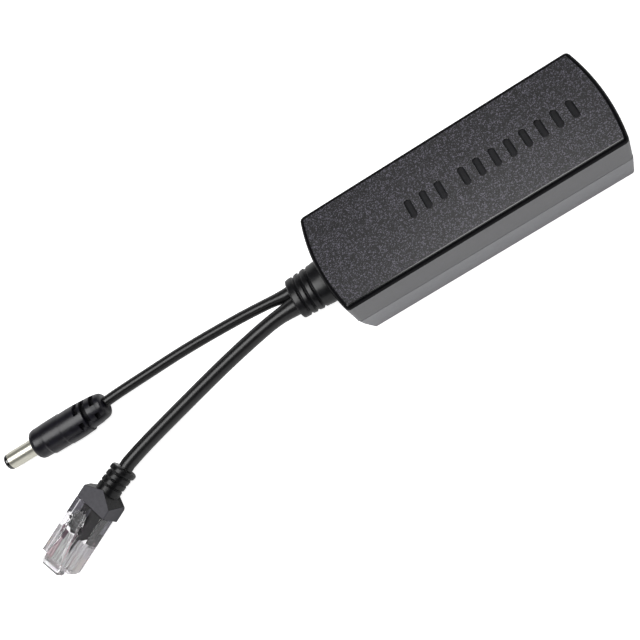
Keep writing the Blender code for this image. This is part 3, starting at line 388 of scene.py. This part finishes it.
# PVC deep in the grip's slots, where little light comes
PIT_PVC = moulded("pvc_in_the_slots", "#0c0c0e", "#111114", 0.45, gloss=0.1)
# Bright nickel with fine drawing marks: a broad white band and warm grey sides
NICKEL = metal("bright_nickel", "#d2d0c3", 0.31)
# Gold flash on the contact blades
GOLD = metal("gold_flash", "#d6ab52", 0.2)
# Polycarbonate from a polished tool: clear, with pale edges; the bar over the contacts is cloudy
CLEAR_PC = clear_plastic("clear_polycarbonate", "#fbf9fc", "#f7f7f8", 0.96, 0.05)
CLOUDY_PC = clear_plastic("cloudy_polycarbonate", "#faf5f9", "#f2f0f3", 0.35, 0.3)


def wire_pvc(name, low, high):
    """Thin insulation seen through the clear plastic. The pale colours given to it are lifted close to white as
    painted light, for the light that reaches it through the plastic.
    """
    return moulded(name, low, high, 0.4, mottle=1.667, gloss=0.3)


MAUVE_WIRE = wire_pvc("mauve_wire_pvc", "#6b4f5d", "#7d6370")
# pink, pale green and pale grey lifted close to white: painted light for the light through the clear plastic
PINK_WIRE = wire_pvc("pink_wire_pvc", "#f0d5db", "#f4e2e6")
GREEN_WIRE = wire_pvc("pale_green_wire_pvc", "#eceeec", "#f5f5f5")
GREY_WIRE = wire_pvc("pale_grey_wire_pvc", "#efeef0", "#f5f4f6")
# Boot PVC that ran into the plug: wetted by the clear plastic, so it has no shine. Where it is a thin web it is
# painted pale violet-grey: painted light, standing in for light coming through the thin PVC
RUN_PVC = moulded("boot_pvc_in_the_plug", "#0b080c", "#141015", 0.5, gloss=0.0)
PAINTED_LIGHT_WEB_PVC = moulded("thin_boot_pvc_painted_light", "#6b6974", "#7d7b87", 0.5, gloss=0.2)

# Finishes of the parts inside the box
SOLDER_MASK = moulded("green_solder_mask", "#14532f", "#1b6338", 0.3, mottle=2.0)
EPOXY = moulded("black_epoxy", "#17171a", "#232327", 0.45)
CAN_SLEEVE = moulded("capacitor_sleeve_film", "#1f2b45", "#263452", 0.3)
FERRITE = moulded("sintered_ferrite", "#2f2f33", "#3d3d42", 0.6, mottle=0.5556)
TAPE = moulded("yellow_polyester_tape", "#d9b93a", "#e3c64c", 0.3)
COPPER = metal("enamelled_copper", "#b06a3c", 0.25)
SOCKET_NYLON = moulded("socket_nylon", "#141416", "#1d1d20", 0.4)
RED_WIRE = moulded("red_wire_pvc", "#a8201c", "#b92a25", 0.35)
ORANGE_WIRE = moulded("orange_wire_pvc", "#d2691e", "#df7a2c", 0.35)
LEAF_WIRE = moulded("green_wire_pvc", "#2c7a3a", "#378a46", 0.35)
BLUE_WIRE = moulded("blue_wire_pvc", "#2450a0", "#2e5cb0", 0.35)
BROWN_WIRE = moulded("brown_wire_pvc", "#5f3a22", "#6e4529", 0.35)


def dress(material, *names):
    """Give parts kept from the CAD their finish."""
    for name in names:
        for slot in NODES[name].material_slots:
            slot.link = "OBJECT"
            slot.material = material


dress(GOLD, *[f"{kind}_contact_{i + 1}" for kind in ("socket", "data_plug") for i in range(8)])
dress(SOCKET_NYLON, "socket_housing")
dress(SOLDER_MASK, "circuit_board")
dress(EPOXY, "network_transformer", "bridge_rectifier_a", "bridge_rectifier_b", "controller_chip",
      "switching_transistor", "optocoupler", "output_diode")
dress(CAN_SLEEVE, "input_capacitor", "output_capacitor_a", "output_capacitor_b")
dress(FERRITE, "power_transformer_core")
dress(TAPE, "power_transformer_winding")
dress(COPPER, "output_inductor")
dress(RED_WIRE, "power_wire_positive")
dress(SOFT_PVC, "power_wire_negative")
for wire_index, wire_finish in enumerate((ORANGE_WIRE, LEAF_WIRE, BLUE_WIRE, BROWN_WIRE)):
    dress(wire_finish, f"data_pair_wire_{wire_index + 1}")


# Box ------------------------------------------------------------------------------------------
# Half its length, half its width and its height, all in millimetres
BOX_HALF, BOX_WIDE, BOX_TOP = 45.3, 16.25, 21.6
SOCKET_BOW, CORD_BOW, CORNER = 2.0, 2.3, 1.15
# Rounding of the rim and the foot, and how far the sides lean in
RIM, FOOT, DRAFT = 1.35, 0.3, 0.4
SEAM, SEAM_LINE, TONGUE_RISE = 9.9, 0.17, 1.7
WALL, SKIRT, FLOOR = 2.2, 1.0, 1.9
SOCKET_LOW, SOCKET_SIZE, SOCKET_CLEARANCE = 6.1, (17.6, 15.8, 13.2), 0.12
RELIEF_HOLE, OVAL_REACH = 5.25, 1.6
# Plain bars in place of the moulded wording: a row of three and a row of eight
BAR_START, BAR_PITCH, ROW_GAP, BAR_STRAIGHT, FIRST_ROW = -14.2, 4.75, 2.6, 2.15, 3
BAR_PLACES = [BAR_START + BAR_PITCH * i + (ROW_GAP if i >= FIRST_ROW else 0) for i in range(11)]


def box_plan(bm, z, inset=0.0):
    """Plan of the box as one face: straight sides, ends bowed outwards, small round corners."""
    starts, ends = [], []
    for side, bow in ((1, SOCKET_BOW), (-1, CORD_BOW)):
        radius = (BOX_WIDE ** 2 + bow ** 2) / (2 * bow)
        centre = side * (BOX_HALF - radius)
        half = math.asin((BOX_WIDE - inset) / (radius - inset))
        start = bm.verts.new((centre + side * (radius - inset) * math.cos(half), -side * (BOX_WIDE - inset), z))
        made = bmesh.ops.spin(bm, geom=[start], cent=(centre, 0, z), axis=(0, 0, 1), angle=2 * half, steps=20)
        starts.append(start)
        ends.append(next(g for g in made["geom_last"] if isinstance(g, bmesh.types.BMVert)))
    bm.edges.new((ends[0], starts[1]))
    bm.edges.new((ends[1], starts[0]))
    bmesh.ops.contextual_create(bm, geom=bm.edges[:])
    bmesh.ops.bevel(bm, geom=starts + ends, offset=max(CORNER - inset, 0.3), offset_type="OFFSET", segments=5,
                    profile=0.5, affect="VERTICES", material=-1)
    bm.faces.ensure_lookup_table()
    return bm.faces[0]


def box_block(name, low, high, inset):
    """A helper block with the box's plan, set in from its outside."""
    bm = bmesh.new()
    raise_face(bm, box_plan(bm, low, inset), (0, 0, high - low))
    return raw_object(name, bm)


def cuboid(name, low, high, soften=0.0, segments=3):
    """A helper block between two corners, with softened edges."""
    bm = bmesh.new()
    bmesh.ops.create_cube(bm, size=1.0)
    size = Vector(high) - Vector(low)
    bmesh.ops.scale(bm, vec=size, verts=bm.verts)
    bmesh.ops.translate(bm, vec=(Vector(low) + Vector(high)) / 2, verts=bm.verts)
    if soften:
        bevel_edges(bm, bm.edges[:], soften, segments)
    return raw_object(name, bm)


def slot_column(name, straight, levels, steps=12):
    """A column with a slot section, long along Y, that follows (height, radius) levels."""
    bm = bmesh.new()
    low, radius = levels[0]
    arcs = []
    for side in (1, -1):
        start = bm.verts.new((side * radius, side * straight, low))
        made = bmesh.ops.spin(bm, geom=[start], cent=(0, side * straight, low), axis=(0, 0, 1), angle=math.pi,
                              steps=steps)
        arcs.append((start, next(g for g in made["geom_last"] if isinstance(g, bmesh.types.BMVert))))
    bm.edges.new((arcs[0][1], arcs[1][0]))
    bm.edges.new((arcs[1][1], arcs[0][0]))
    face = bmesh.ops.contextual_create(bm, geom=bm.edges[:])["faces"][0]
    for level, (height, radius) in enumerate(levels[1:]):
        def shape(vert, height=height, radius=radius):
            hub = Vector((0, math.copysign(straight, vert.co.y), 0))
            out = Vector((vert.co.x, vert.co.y, 0)) - hub
            vert.co = hub + out.normalized() * radius + Vector((0, 0, height))
        new = raise_face(bm, face, shape=shape)
        if level:
            bmesh.ops.delete(bm, geom=[face], context="FACES_ONLY")
        face = new
    return raw_object(name, bm)


def gather(name, parts):
    """Join helper solids into one, each moved to its place."""
    bm = bmesh.new()
    for obj, place in parts:
        obj.data.transform(Matrix.Translation(place))
        bm.from_mesh(obj.data)
        bpy.data.objects.remove(obj)
    return raw_object(name, bm)


def oval(obj):
    """Stretch a turned piece in Y, so that its section is an oval 3.2 mm wider than it is high."""
    for vert in obj.data.vertices:
        reach = math.hypot(vert.co.x, vert.co.y)
        if reach > 0.5:
            vert.co.y *= (reach + OVAL_REACH) / reach
    return obj


def relief_hole(name):
    """Cutter for the hole that the strain relief's collar fills."""
    tool = oval(turned(name, [(0, 40.0), (RELIEF_HOLE, 40.0), (RELIEF_HOLE, 48.5), (0, 48.5)], 0, 96))
    tool.data.transform(RELIEF_TURN)
    return tool


def socket_hole(name):
    """Cutter for the window that the network socket sits in."""
    room = SOCKET_CLEARANCE
    return cuboid(name, (34.0, -SOCKET_SIZE[1] / 2 - room, SOCKET_LOW - room),
                  (48.0, SOCKET_SIZE[1] / 2 + room, SOCKET_LOW + SOCKET_SIZE[2] + room))


def lid_bars():
    """Two rows of shallow bars pressed into the lid, their upper edges slightly rounded."""
    top = BOX_TOP
    levels = [(top - 0.35, 0.66), (top - 0.3, 0.74), (top - 0.14, 0.8), (top - 0.07, 0.88), (top + 0.05, 1.1),
              (top + 0.6, 1.1)]
    return gather("lid_bars", [(slot_column("bar", BAR_STRAIGHT, levels, 8), (x, 0, 0)) for x in BAR_PLACES])


def make_lid():
    """Upper half: textured top, polished rounded rim and bars, smooth sides."""
    low = SEAM + SEAM_LINE / 2
    bm = bmesh.new()
    top = raise_face(bm, box_plan(bm, low), (0, 0, BOX_TOP - low))
    bevel_edges(bm, top.edges[:], RIM, 8)
    lid = raw_object("lid_shell", bm)
    carve(lid, box_block("lid_cavity", low - 2, BOX_TOP - FLOOR, WALL))
    carve(lid, box_block("lid_rebate", low - 2, SEAM + TONGUE_RISE + 0.25, SKIRT))
    carve(lid, relief_hole("relief_hole_top"))
    carve(lid, socket_hole("socket_hole_top"))
    carve(lid, lid_bars())

    textured, rim, side, edge, sunk = range(5)

    def pick(poly):
        depth = BOX_TOP - poly.center.z
        if poly.normal.z > 0.99 and depth < 0.01:
            return textured
        if depth < 0.36 and abs(poly.center.y) < 4 and -16 < poly.center.x < 38:
            return edge if depth < 0.08 else sunk
        if depth < 0.03:
            return edge
        return rim if depth < RIM else side
    return place_piece(lid, [SPARK_TEXTURE, POLISHED_ABS, PAINTED_SHEEN_SIDE_ABS, EDGE_ABS, SUNK_ABS], pick, nodes=["top_cover"])


def make_base():
    """Lower half: sides drawn in a little towards the table, tongue in the seam."""
    high = SEAM - SEAM_LINE / 2
    bm = bmesh.new()
    foot = box_plan(bm, 0, DRAFT)
    wide_x, wide_y = BOX_HALF / (BOX_HALF - DRAFT), BOX_WIDE / (BOX_WIDE - DRAFT)

    def widen(vert):
        vert.co.x, vert.co.y = vert.co.x * wide_x, vert.co.y * wide_y
    raise_face(bm, foot, (0, 0, high), widen)
    bevel_edges(bm, foot.edges[:], FOOT, 3)
    # the lower half's corners at the leads' end are cut in, more so towards the table
    for y in (1, -1):
        shave(bm, (-42.8, y * 15.95, high), (-0.7, y * 0.7, -0.16))
    base = raw_object("base_shell", bm)
    carve(base, box_block("seam_tongue", high - 1, high + TONGUE_RISE, SKIRT + 0.15), "UNION")
    carve(base, box_block("base_cavity", FLOOR, high + 4, WALL))
    carve(base, relief_hole("relief_hole_low"))
    carve(base, socket_hole("socket_hole_low"))
    # the lower half's pale grey is painted sheen on black ABS
    return place_piece(base, [PAINTED_SHEEN_LOWER_ABS], nodes=["bottom_case"])


# Strain relief --------------------------------------------------------------------------------
RELIEF_TURN = Matrix.Translation((0, 0, RELIEF_CENTRE_Z)) @ Matrix.Rotation(math.radians(-90), 4, "Y")
GROOVES = (49.6, 51.85, 53.95)


def make_strain_relief():
    """Soft collar through the end wall, then three ribs that shrink a little towards the leads."""
    end = -RELIEF_END_X
    flange = [(0, 40.45), (6.3, 40.45), (6.3, 42.25), (5.2, 42.3)]
    levels = flange + [(5.2, 45.2), (5.4, 45.5), (5.36, 47.0), (5.22, 48.2)]
    for groove in GROOVES:
        radius = 5.2 - 0.06 * (groove - GROOVES[0])
        levels += [(radius, groove - 0.62), (radius - 0.08, groove - 0.48), (radius - 0.5, groove - 0.05),
                   (radius - 0.5, groove + 0.05), (radius - 0.08, groove + 0.48), (radius, groove + 0.62)]
    levels += [(4.85, end - 0.6), (4.7, end - 0.2), (4.35, end), (0, end)]
    relief = oval(turned("strain_relief_moulding", levels, 0, 96))
    # short roots close the contact gap between the relief and each lead
    reach = end + GAP + 0.02
    for y, radius in ((DATA_EXIT_Y, 2.82), (POWER_EXIT_Y, 2.18)):
        root = turned("lead_root", [(0, end - 1), (radius, end - 1), (radius, reach), (0, reach)], 0, 48)
        root.data.transform(Matrix.Translation((0, y, 0)))
        carve(relief, root, "UNION")
    return place_piece(relief, [SOFT_PVC], turn=RELIEF_TURN, smooth=50, nodes=["strain_relief"])


# Turned pieces --------------------------------------------------------------------------------
def turned(name, profile, soften=0.0, steps=64):
    """Spin a profile of (radius, height) points round the Z axis, its corners softened first."""
    bm = bmesh.new()
    points = [bm.verts.new((radius, 0, height)) for radius, height in profile]
    for one, two in zip(points, points[1:]):
        bm.edges.new((one, two))
    if soften:
        inner = [v for v in points if len(v.link_edges) == 2]
        bmesh.ops.bevel(bm, geom=inner, offset=soften, offset_type="OFFSET", segments=2, profile=0.5,
                        affect="VERTICES", material=-1, clamp_overlap=True)
    bmesh.ops.spin(bm, geom=bm.verts[:] + bm.edges[:], cent=(0, 0, 0), axis=(0, 0, 1), angle=2 * math.pi,
                   steps=steps, use_merge=True)
    return raw_object(name, bm)


def plug_turn(place, heading, height, lay=True):
    """From a plug's own axes to the part's frame. A turned piece is laid down first."""
    turn = Matrix.Translation((*place, height)) @ Matrix.Rotation(math.radians(heading), 4, "Z")
    return turn @ Matrix.Rotation(math.radians(90), 4, "Y") if lay else turn


# Power plug -----------------------------------------------------------------------------------
GRIP_LENGTH, SLEEVE_RADIUS, SLEEVE_BORE, SLEEVE_LENGTH, SLEEVE_SEAT = 26.6, 2.75, 2.3, 10.8, 6.0
# Slots round the grip's tail: where each starts and ends, the radius of its floor, and whether a web bridges its top
SLOTS = ((1.85, 3.5, 3.4, True), (5.15, 6.95, 3.6, False), (7.75, 9.35, 3.8, True))
SIDE_WEB, TOP_WEB, TOP_WEB_TURN = 1.7, 1.3, -22


def make_power_plug():
    """Moulded grip with a slotted tail, nickel barrel, black lining and the spring tube inside."""
    turn = plug_turn(POWER_PLACE, POWER_HEADING, GRIP_RADIUS)
    length, bore, seat = GRIP_LENGTH, SLEEVE_RADIUS + 0.05, GRIP_LENGTH - SLEEVE_SEAT
    nose = [(5.1, 12.0), (5.05, 15.1), (5.02, 15.7), (4.98, 21.5), (4.94, 22.2), (4.88, 23.2), (4.88, 25.0),
            (4.7, 25.9), (4.35, 26.35), (3.8, length), (bore, length), (bore, seat), (0, seat)]
    tail = [(0, 0), (2.8, 0), (3.4, 0.15), (3.9, 0.6), (4.15, 1.2), (4.3, 1.9), (4.6, 3.7), (4.86, 7.0),
            (5.02, 9.4)]
    grip = turned("power_plug_moulding", tail + nose, 0.1)
    for low, high, floor, web_on_top in SLOTS:
        ring = turned("slot_ring", [(floor, low + 0.2), (floor, high - 0.2), (7.0, high + 0.3), (7.0, low - 0.3),
                                    (floor, low + 0.2)], 0.0, 60)
        # turned a little, so that no edge of it lies on an edge of the grip
        ring.data.transform(Matrix.Rotation(math.radians(1.3), 4, "Z"))
        carve(ring, cuboid("side_web", (-SIDE_WEB, -9, 0), (SIDE_WEB, 9, 12)))
        if web_on_top:
            bar = cuboid("top_web", (-9, -TOP_WEB, 0), (9, TOP_WEB, 12))
            bar.data.transform(Matrix.Rotation(math.radians(TOP_WEB_TURN), 4, "Z"))
            carve(ring, bar)
        carve(grip, ring)
    # the grip is a little wider than it is high, in steps along it
    for vert in grip.data.vertices:
        along = vert.co.z
        swell = 1.13 if 7.0 < along < 15.3 else 1.1 if 15.3 < along < 22 else 1.03
        vert.co.y *= swell if vert.co.y > 0 else 0.97 if along < 15.3 else 1.02
    grip.data.transform(Matrix.Diagonal((GRIP_RADIUS / 5.12, 1, 1, 1)))

    surface, pit = range(2)

    def pick(poly):
        deep = 1.9 < poly.center.z < 10 and math.hypot(poly.center.x, poly.center.y) < 4.2
        return pit if deep else surface
    place_piece(grip, [GLOSSY_PVC, PIT_PVC], pick, nodes=["power_plug_grip"], after=turn)
    low, high = seat + 0.1, length + SLEEVE_LENGTH
    lip = high - 1.1
    barrel = turned("barrel", [(SLEEVE_BORE, low), (SLEEVE_BORE, lip), (SLEEVE_RADIUS - 0.25, lip),
                               (SLEEVE_RADIUS - 0.06, lip - 0.08), (SLEEVE_RADIUS, lip - 0.25),
                               (SLEEVE_RADIUS, low), (SLEEVE_BORE, low)], 0.0, 72)
    place_piece(barrel, [NICKEL], turn=turn, nodes=["power_plug_sleeve"])
    tip = high + 0.35
    round_tip = [(1.6, tip), (1.9, tip), (2.2, tip - 0.08), (2.42, tip - 0.24), (2.56, tip - 0.48), (2.62, tip - 0.8)]
    lining = turned("barrel_lining", [(1.3, low), (1.3, tip - 0.4)] + round_tip
                    + [(2.62, lip + 0.05), (2.27, lip + 0.05), (2.27, low), (1.3, low)], 0.0, 56)
    place_piece(lining, [BLACK_NYLON], turn=turn, nodes=["power_plug_insulator"])
    spring = turned("spring_tube", [(1.05, low), (1.05, high - 0.8), (1.25, high - 0.8), (1.25, low), (1.05, low)],
                    0.0, 40)
    place_piece(spring, [NICKEL], turn=turn, nodes=["power_plug_inner_contact"])


# Network plug ---------------------------------------------------------------------------------
PLUG_TURN = plug_turn(DATA_PLACE, DATA_HEADING, 0, lay=False)
BOOT_LENGTH, PLUG_START, PLUG_NOSE, PLUG_LOW, PLUG_DECK, PLUG_HALF = 14.8, 15.1, 35.0, 1.3, 7.9, 5.85
HOOD_SIZE, FRONT_SLANT = (8.2, 12.2, HOOD_HEIGHT), 0.077
NECK_GROOVES, NECK_BEND = (1.85, 3.95, 6.05), 0.75


def make_boot():
    """Boot on the network lead: ring, grooved neck with a web, faceted hood with a flat top."""
    middle = HOOD_HEIGHT / 2
    bm = bmesh.new()
    bmesh.ops.create_cube(bm, size=1.0)
    bmesh.ops.scale(bm, vec=HOOD_SIZE, verts=bm.verts)
    bmesh.ops.translate(bm, vec=(BOOT_LENGTH - 4.0, 0.3, middle), verts=bm.verts)
    shave(bm, (14.5, 0, 4), (1, -FRONT_SLANT, 0))
    # the sides that narrow towards the neck, and the top's facets and side chamfers
    for y in (1, -1):
        shave(bm, (7.6, y * 2.2, 4), (-0.891, y * 0.4545, 0))
    shave(bm, (8.2, 1.0, 8), (-0.788, 0.545, 0.282))
    shave(bm, (8.2, 1.0, 8), (-0.898, -0.295, 0.33))
    shave(bm, (12, 6.1, 8), (0, 0.707, 0.707))
    shave(bm, (12, -5.5, 8), (0, -0.707, 0.707))
    # the same below
    for y in (1, -1):
        shave(bm, (8.4, y * 1.5, 0), (-0.63, y * 0.321, -0.707))
        shave(bm, (12, 0.3 + y * 5.75, 0), (0, y * 0.707, -0.707))
    bevel_edges(bm, sharp_edges(bm, 15), 0.12, 2)
    hood = raw_object("boot_moulding", bm)
    profile = [(0, 0), (3.7, 0), (4.15, 0.4), (4.15, 1.5), (3.95, 1.8)]
    for start in NECK_GROOVES:
        profile += [(3.5, start + 0.2), (3.5, start + 0.4), (3.85, start + 0.65), (3.9, start + 2.0)]
    neck = turned("boot_neck", profile + [(3.9, 9.0), (0, 9.0)], 0.1, 56)
    neck.data.transform(Matrix.Translation((0, 0, middle)) @ Matrix.Rotation(math.radians(90), 4, "Y"))
    for z in (1, -1):
        web = cuboid("neck_web", (1.0, -0.75, middle + (0.5 if z > 0 else -3.8)),
                     (8.6, 0.75, middle + (3.8 if z > 0 else -0.5)), 0.15)
        carve(neck, web, "UNION")
    # the neck bends towards the lead and lies flat on the table
    for vert in neck.data.vertices:
        vert.co.y += 0.2 + NECK_BEND * (max(0.0, 7.5 - vert.co.x) / 7.5) ** 1.5
        vert.co.z = max(vert.co.z, 0.0)
    carve(hood, neck, "UNION")
    carve(hood, make_overmould(), "UNION")
    dull, black, polished, inside = range(4)

    def pick(poly):
        reach = math.hypot(poly.center.y - 0.4, poly.center.z - middle)
        if poly.center.x > PLUG_START:
            return inside
        if poly.center.x < 7.3 or (poly.center.x < 9.2 and reach < 4.1):
            return black
        # faces turned towards the lead are the polished black; all other hood faces take the grey of painted sheen
        return polished if poly.normal.x < -0.4 else dull
    place_piece(hood, [PAINTED_SHEEN_BOOT_PVC, NECK_PVC, CHAMFER_PVC, RUN_PVC], pick, smooth=28, nodes=["data_plug_boot"],
                after=PLUG_TURN)


def plan_block(name, points, low, high, soften):
    """A helper block with a plan of a few corners."""
    bm = bmesh.new()
    face = bmesh.ops.contextual_create(bm, geom=[bm.verts.new((x, y, low)) for x, y in points])["faces"][0]
    raise_face(bm, face, (0, 0, high - low))
    if soften:
        bevel_edges(bm, sharp_edges(bm, 25), soften, 2)
    return raw_object(name, bm)


def make_overmould():
    """Boot material that ran into the plug: a block with an arm, a second finger and a thin tail."""
    block = plan_block("overmould_block", [(14.0, 4.9), (22.2, 4.7), (24.7, 2.3), (24.7, 1.4), (23.0, 0.7),
                                           (14.0, 0.9)], 2.4, 6.6, 0.1)
    arm = plan_block("overmould_arm", [(20.9, 1.3), (23.2, 1.3), (23.8, -0.7), (22.9, -1.6), (22.6, -4.1),
                                       (20.4, -5.0), (21.4, -3.4), (20.7, -1.4)], 2.4, 6.4, 0.0)
    carve(block, arm, "UNION")
    finger = plan_block("overmould_finger", [(14.0, -1.3), (20.9, -0.9), (20.8, -2.6), (17.0, -2.4), (14.0, -2.9)],
                        2.4, 6.3, 0.1)
    tail = plan_block("overmould_tail", [(24.0, 2.5), (29.3, 2.0), (29.3, 1.8), (24.0, 1.3)], 5.6, 6.3, 0.04)
    carve(block, finger, "UNION")
    return carve(block, tail, "UNION")


def make_plug_housing():
    """Clear housing lying on its contact side, its latch on top."""
    bm = bmesh.new()
    bmesh.ops.create_cube(bm, size=1.0)
    back = 13.5
    bmesh.ops.scale(bm, vec=(PLUG_NOSE - back, 2 * PLUG_HALF, PLUG_DECK - PLUG_LOW), verts=bm.verts)
    bmesh.ops.translate(bm, vec=((PLUG_NOSE + back) / 2, 0, (PLUG_DECK + PLUG_LOW) / 2), verts=bm.verts)
    shave(bm, (14.62, 0, 4), (-1, FRONT_SLANT, 0))
    bevel_edges(bm, bm.edges[:], 0.3)
    body = raw_object("plug_housing", bm)
    for y in (1, -1):
        carve(body, cuboid("nose_shoulder", (PLUG_NOSE - 2.1, min(y * 3.4, y * 8), PLUG_DECK - 3.0),
                           (PLUG_NOSE + 2, max(y * 3.4, y * 8), PLUG_DECK + 2), 0.35))
        corner = cuboid("nose_corner", (-3, -3, -1), (3, 3, 12), 0.5)
        corner.data.transform(Matrix.Translation((PLUG_NOSE + 1.1, y * (PLUG_HALF + 1.1), 0))
                              @ Matrix.Rotation(math.radians(45), 4, "Z"))
        carve(body, corner)
    nose, free, deck = PLUG_NOSE + 1.2, PLUG_START + 1.6, PLUG_DECK
    side = [(nose - 0.3, deck - 3.6), (nose, deck - 2.8), (nose, deck - 0.2), (nose - 0.6, deck + 0.8),
            (nose - 2.4, deck + 1.1), (free + 6, deck + 1.9), (free, deck + 2.3), (free, deck + 1.4),
            (free + 6, deck + 0.9), (nose - 3.0, deck + 0.2), (nose - 3.4, deck - 3.6)]
    bm = bmesh.new()
    points = [bm.verts.new((x, -3.3, z)) for x, z in side]
    face = bmesh.ops.contextual_create(bm, geom=points)["faces"][0]
    raise_face(bm, face, (0, 6.6, 0))
    for vert in bm.verts:
        if vert.co.x < free + 7:
            vert.co.y *= 0.6
    bevel_edges(bm, sharp_edges(bm, 30), 0.25, 2)
    carve(body, raw_object("latch", bm), "UNION")
    place_piece(body, [CLEAR_PC], turn=PLUG_TURN, smooth=35, nodes=["data_plug_body"])


def make_plug_inside():
    """What shows through the housing: the cloudy bar over the contacts, the wire ends and a web of boot PVC."""
    bar = cuboid("wire_holder", (24.9, -5.3, 1.55), (34.2, 5.3, 4.7), 0.35)
    place_piece(bar, [CLOUDY_PC], turn=PLUG_TURN, smooth=35)
    wires, pitch = [], 1.02
    for index in range(8):
        wire = turned("wire_end", [(0, 24.2), (0.46, 24.2), (0.46, 33.2), (0.3, 33.4), (0, 33.4)], 0, 20)
        wire.data.transform(Matrix.Rotation(math.radians(90), 4, "Y"))
        wires.append((wire, Vector((0, (index - 3.5) * pitch, 5.2))))
    tab = plan_block("mauve_tab", [(23.4, -4.9), (25.9, -4.6), (26.8, -1.7), (24.0, -1.5)], 5.6, 6.1, 0.1)
    wires.append((tab, Vector((0, 0, 0))))

    mauve, pink, green, grey = range(4)

    def pick(poly):
        if poly.center.z > 5.67 or (poly.center.y < -1.6 and poly.center.x < 24.9):
            return mauve
        return pink if poly.center.y < -2.0 else green if poly.center.y < 2.0 else grey
    place_piece(gather("wire_ends", wires), [MAUVE_WIRE, PINK_WIRE, GREEN_WIRE, GREY_WIRE], pick, smooth=50,
                after=PLUG_TURN)
    # the web's pale grey is painted light on black boot PVC
    web = plan_block("boot_web", [(14.2, 5.4), (20.0, 5.4), (20.9, -0.5), (20.6, -4.0), (19.8, -5.5), (14.0, -5.5)],
                     2.0, 3.6, 0.15)
    place_piece(web, [PAINTED_LIGHT_WEB_PVC], turn=PLUG_TURN, smooth=35)


# Studio -------------------------------------------------------------------------------------
def make_world():
    """White backdrop up to 9 degrees, fading to a dark ceiling at 27; the camera sees plain white."""
    world = bpy.data.worlds.new("studio")
    SCENE.world = world
    world.use_nodes = True
    tree = world.node_tree
    tree.nodes.clear()
    place = add(tree, "ShaderNodeTexCoord")
    split = add(tree, "ShaderNodeSeparateXYZ", inputs={0: place.outputs["Generated"]})
    height = add(tree, "ShaderNodeValToRGB", {"stops": [(0.0, "#ffffff"), (0.16, "#ffffff"), (0.45, "#424242")]},
                 {"Fac": split.outputs["Z"]})
    path = add(tree, "ShaderNodeLightPath")
    seen = add(tree, "ShaderNodeMix", {"data_type": "RGBA"},
               {0: path.outputs["Is Camera Ray"], 6: height.outputs["Color"], 7: "#ffffff"})
    back = add(tree, "ShaderNodeBackground", inputs={"Color": seen.outputs[2], "Strength": 1.0})
    add(tree, "ShaderNodeOutputWorld", inputs={"Surface": back.outputs[0]})


# How much the table glows for each kind of ray, and the size of its top in metres
CAMERA_GLOW, CLEAR_GLOW, GLOSS_GLOW, TABLE_SIZE = 0.9, 0.85, 0.1, 3.0
LAMP_HEIGHT = 0.65


def make_floor():
    """Matt white table. It shows clean white to the camera and in gloss, and keeps the soft shadow."""
    mat, tree = new_material("white_table_laminate")
    path = add(tree, "ShaderNodeLightPath")
    seen = add(tree, "ShaderNodeMath", {"operation": "MULTIPLY"},
               {0: path.outputs["Is Camera Ray"], 1: CAMERA_GLOW})
    through = add(tree, "ShaderNodeMath", {"operation": "MULTIPLY_ADD"},
                  {0: path.outputs["Is Transmission Ray"], 1: CLEAR_GLOW, 2: seen.outputs[0]})
    glow = add(tree, "ShaderNodeMath", {"operation": "MULTIPLY_ADD"},
               {0: path.outputs["Is Glossy Ray"], 1: GLOSS_GLOW, 2: through.outputs[0]})
    paint = add(tree, "ShaderNodeBsdfDiffuse", inputs={"Color": "#e6e6e6"})
    light = add(tree, "ShaderNodeEmission", inputs={"Color": "#ffffff", "Strength": glow.outputs[0]})
    both = add(tree, "ShaderNodeAddShader", inputs={0: paint.outputs[0], 1: light.outputs[0]})
    finish_material(mat, tree, both)
    bm = bmesh.new()
    bmesh.ops.create_grid(bm, x_segments=1, y_segments=1, size=TABLE_SIZE)
    mesh = bpy.data.meshes.new("floor")
    bm.to_mesh(mesh)
    bm.free()
    mesh.materials.append(mat)
    floor = bpy.data.objects.new("floor", mesh)
    SCENE.collection.objects.link(floor)


def make_lamp(name, x, y, size, power):
    """A softbox overhead, pointing down: place and size in metres, power in watts."""
    light = bpy.data.lights.new(name, "AREA")
    light.shape, light.size, light.size_y = "RECTANGLE", *size
    light.energy = power
    lamp = bpy.data.objects.new(name, light)
    SCENE.collection.objects.link(lamp)
    lamp.location = (x, y, LAMP_HEIGHT)
    lamp.visible_camera = False


make_world()
make_floor()
make_lamp("box_softbox", 0.035, 0.005, (0.24, 0.47), 2.25)
make_lamp("lead_softbox", -0.4, -0.03, (0.44, 0.4), 3.0)

SCENE.view_settings.view_transform = "Standard"

make_lid()
make_base()
make_strain_relief()
make_power_plug()
make_boot()
make_plug_housing()
make_plug_inside()

data_points, power_points = data_route(), power_route()
data_cord = cord_curve("data_lead", data_points, DATA_CABLE_RADIUS, DATA_FLARE)
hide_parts("data_cable")
power_cord = cord_curve("power_lead", power_points, POWER_CABLE_RADIUS, POWER_FLARE)
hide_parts("power_cable")
route_length(data_points) * MM
route_length(power_points) * MM
